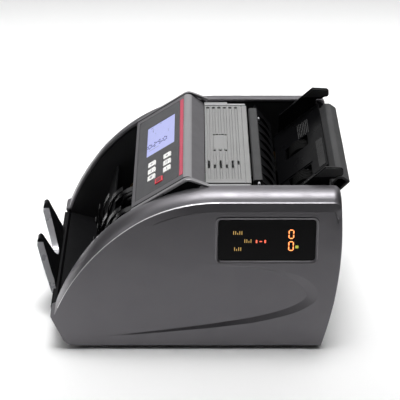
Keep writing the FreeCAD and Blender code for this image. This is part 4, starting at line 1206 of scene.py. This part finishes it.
def stacker_wheels():
    """Impellers with long curved fingers that carry each note round to the pocket."""
    axle_y, axle_z = -57.0, 64.0
    for side, hand in HAND.items():
        name = "stacker_wheel_" + hand
        bm = bmesh.new()
        x0, x1 = side * 21.0 - 5.0, side * 21.0 + 5.0
        fingers = 16
        for i in range(fingers):
            start = 2 * math.pi * i / fingers
            spine = []
            for k in range(15):
                t = k / 14
                radius = 11.0 + 30.0 * t ** 0.82
                turn = start - math.radians(118.0) * t
                spine.append((radius * math.cos(turn), radius * math.sin(turn), 0.95 - 0.42 * t))
            left, right = [], []
            for k, (y, z, thick) in enumerate(spine):
                ay, az, _ = spine[max(k - 1, 0)]
                by, bz, _ = spine[min(k + 1, len(spine) - 1)]
                length = math.hypot(by - ay, bz - az)
                ny, nz = (bz - az) / length, -(by - ay) / length
                left.append((axle_y + y + ny * thick, axle_z + z + nz * thick))
                right.append((axle_y + y - ny * thick, axle_z + z - nz * thick))
            polygon_prism(bm, left + right[::-1], "x", x0, x1)
        make(name + "_fingers", bm, "gloss_black", "stacker_rotor", [name], bevel=0.25, segments=2,
             smooth=50.0)
        bm = bmesh.new()
        turned(bm, [(x0 - 2.0, 4.05), (x0 - 2.0, 6.5), (x0 - 1.6, 7.0), (x0, 7.0), (x0, 12.4),
                    (x0 + 0.5, 12.9),
                    (x1 - 0.5, 12.9), (x1, 12.4), (x1, 7.0), (x1 + 1.6, 7.0), (x1 + 2.0, 6.5),
                    (x1 + 2.0, 4.05)],
               (axle_y, axle_z), 48)
        make(name + "_hub", bm, "black", "stacker_rotor", [], smooth=40.0)


# ---------------------------------------------------------------- rollers and the rest of the casing

def rollers():
    """Moulded hubs with grooved rubber tyres."""
    for node, body, radius, low_x, width, centre in (
            ("feed_rollers", "feed_rotor", 24.0, 20.0, 24.0, (93.0, 100.7)),
            ("pickup_rollers", "pickup_rotor", 14.0, 24.0, 20.0, (116.3, 135.3))):
        tyre, hub = bmesh.new(), bmesh.new()
        for side in (1, -1):
            a = side * (low_x + width / 2) - width / 2
            b = a + width
            rim = radius - 3.2
            profile = [(a + 0.6, rim), (a + 0.6, radius - 0.8), (a + 1.4, radius)]
            grooves = 5
            for k in range(grooves):
                x = a + width * (k + 1) / (grooves + 1)
                profile += [(x - 0.7, radius), (x - 0.4, radius - 0.7), (x + 0.4, radius - 0.7),
                            (x + 0.7, radius)]
            profile += [(b - 1.4, radius), (b - 0.6, radius - 0.8), (b - 0.6, rim)]
            turned(tyre, profile, centre, 64)
            turned(hub, [(a + 1.4, 4.05), (a, 4.3), (a, 6.6), (a + 2.4, 7.6), (a + 2.4, rim - 2.4),
                         (a + 1.0, rim - 1.6),
                         (a + 1.0, rim + 0.2), (b - 1.0, rim + 0.2), (b - 1.0, rim - 1.6),
                         (b - 2.4, rim - 2.4),
                         (b - 2.4, 7.6), (b, 6.6), (b, 4.3), (b - 1.4, 4.05)], centre, 64)
        make(node + "_tyres", tyre, "rubber", body, [node], smooth=35.0)
        make(node + "_hubs", hub, "black", body, [], smooth=35.0)


def feet():
    """Four round rubber feet under the base."""
    bm = bmesh.new()
    for x, y in ((85, -98), (-85, -98), (85, 112), (-85, 112)):
        turned(bm, [(0.0, 2.6), (0.0, 6.6), (0.5, 7.3), (1.6, 7.8), (BASE_Z, 8.0), (BASE_Z, 2.6)], (x, y), 40,
               "z")
    make("feet_rubber", bm, "rubber", nodes=["rubber_feet"], smooth=40.0)


def rear_bow(steps):
    return arc((129.2, 6.6), (143.2, 156.0), BOW_RADIUS, steps)


def rear_panel():
    """The back cover: bowed like the sides, louvred above the mains inlet."""
    bow = rear_bow(22)
    inner = [(y - 2.6, z) for y, z in bow]
    panel = extruded("rear_panel", "charcoal", [(bow + inner[::-1], "x", -INNER_HALF, INNER_HALF)],
                     ["rear_cover"], bevel=0.6, smooth=30.0)
    cutter = bmesh.new()
    block(cutter, (-76.2, 120.0, 23.8), (-23.8, 150.0, 54.2))
    for side in (-1, 1):
        for i in range(9):
            z = 84.0 + i * 6.4
            x0, x1 = (12.0, 78.0) if side > 0 else (-78.0, -12.0)
            polygon_prism(cutter, rounded((x0, z), (x1, z + 2.4), 1.15, 4), "y", 120.0, 150.0)
    polygon_prism(cutter, rounded((4.0, 26.0), (78.0, 52.0), 2.0, 4), "y", 134.6, 150.0)
    carve(panel, cutter)


def cross(u, v, reach=1.9, half=0.35):
    """The outline of a crossed slot about a point."""
    corner = [(reach, -half), (reach, half), (half, half)]
    quarters = ((1, 0), (0, 1), (-1, 0), (0, -1))
    return [(u + a * c - b * s, v + a * s + b * c) for c, s in quarters for a, b in corner]


def screws():
    """Pan-head screws with crossed slots."""
    bm, cutter = bmesh.new(), bmesh.new()
    by_height = [(z, y) for y, z in rear_bow(40)]
    for x, z in ((88.0, 24.0), (-88.0, 24.0), (88.0, 140.0), (-88.0, 140.0)):
        y = lookup(by_height, z)
        turned(bm, [(y - 0.6, 0.01), (y - 0.6, 3.0), (y + 0.4, 3.0), (y + 0.9, 2.5), (y + 1.25, 1.4),
                    (y + 1.3, 0.01)],
               (x, z), 32, "y")
        polygon_prism(cutter, cross(x, z), "y", y + 0.5, y + 3.0)
    for x, y in ((75.0, -30.0), (75.0, 40.0), (-75.0, -30.0), (-75.0, 40.0)):
        turned(bm, [(3.9, 0.01), (3.9, 3.0), (2.9, 3.0), (2.3, 2.5), (1.95, 1.4), (1.9, 0.01)], (x, y), 32,
               "z")
        polygon_prism(cutter, cross(x, y), "z", 1.0, 2.8)
    bmesh.ops.remove_doubles(bm, verts=bm.verts, dist=0.03)
    heads = make("screw_heads", bm, "steel", nodes=["case_screws"], smooth=40.0)
    carve(heads, cutter)


def small_parts():
    """Pieces whose CAD shape is kept and only softened."""
    lip = cad_piece("front_lip", "front_lower_cover", ["bar", "black"], 0.5, 3, 40.0)
    for face in lip.data.polygons:
        if face.normal.z > 0.4 or face.normal.y > 0.2:
            face.material_index = 1
    cad_piece("pocket_floor", "stacker_floor", "black", 0.35)
    cad_piece("base_pan", "base_tray", "black", 0.5)
    cad_piece("inlet_socket", "mains_inlet", "black", 0.3)
    cad_piece("rocker_cap", "power_rocker", "gloss_black", 0.5, 3, body="power_rocker")
    cad_piece("retard_carrier", "retard_bracket", "frame", 0.35)
    cad_piece("chute_lower", "lower_chute", "black", 0.3)
    cad_piece("chute_upper", "upper_chute", "black", 0.3)


for step in (paint_nodes, camera, studio, floor):
    step()
side_cover(1)
side_cover(-1)
for step in (side_window, display_unit, display_face, key_caps, vent_cover, hopper_plate, hopper_front,
             rear_beam,
             hopper_guides, prong_plate, stacker_wheels, rollers, feet, rear_panel, screws, small_parts):
    step()
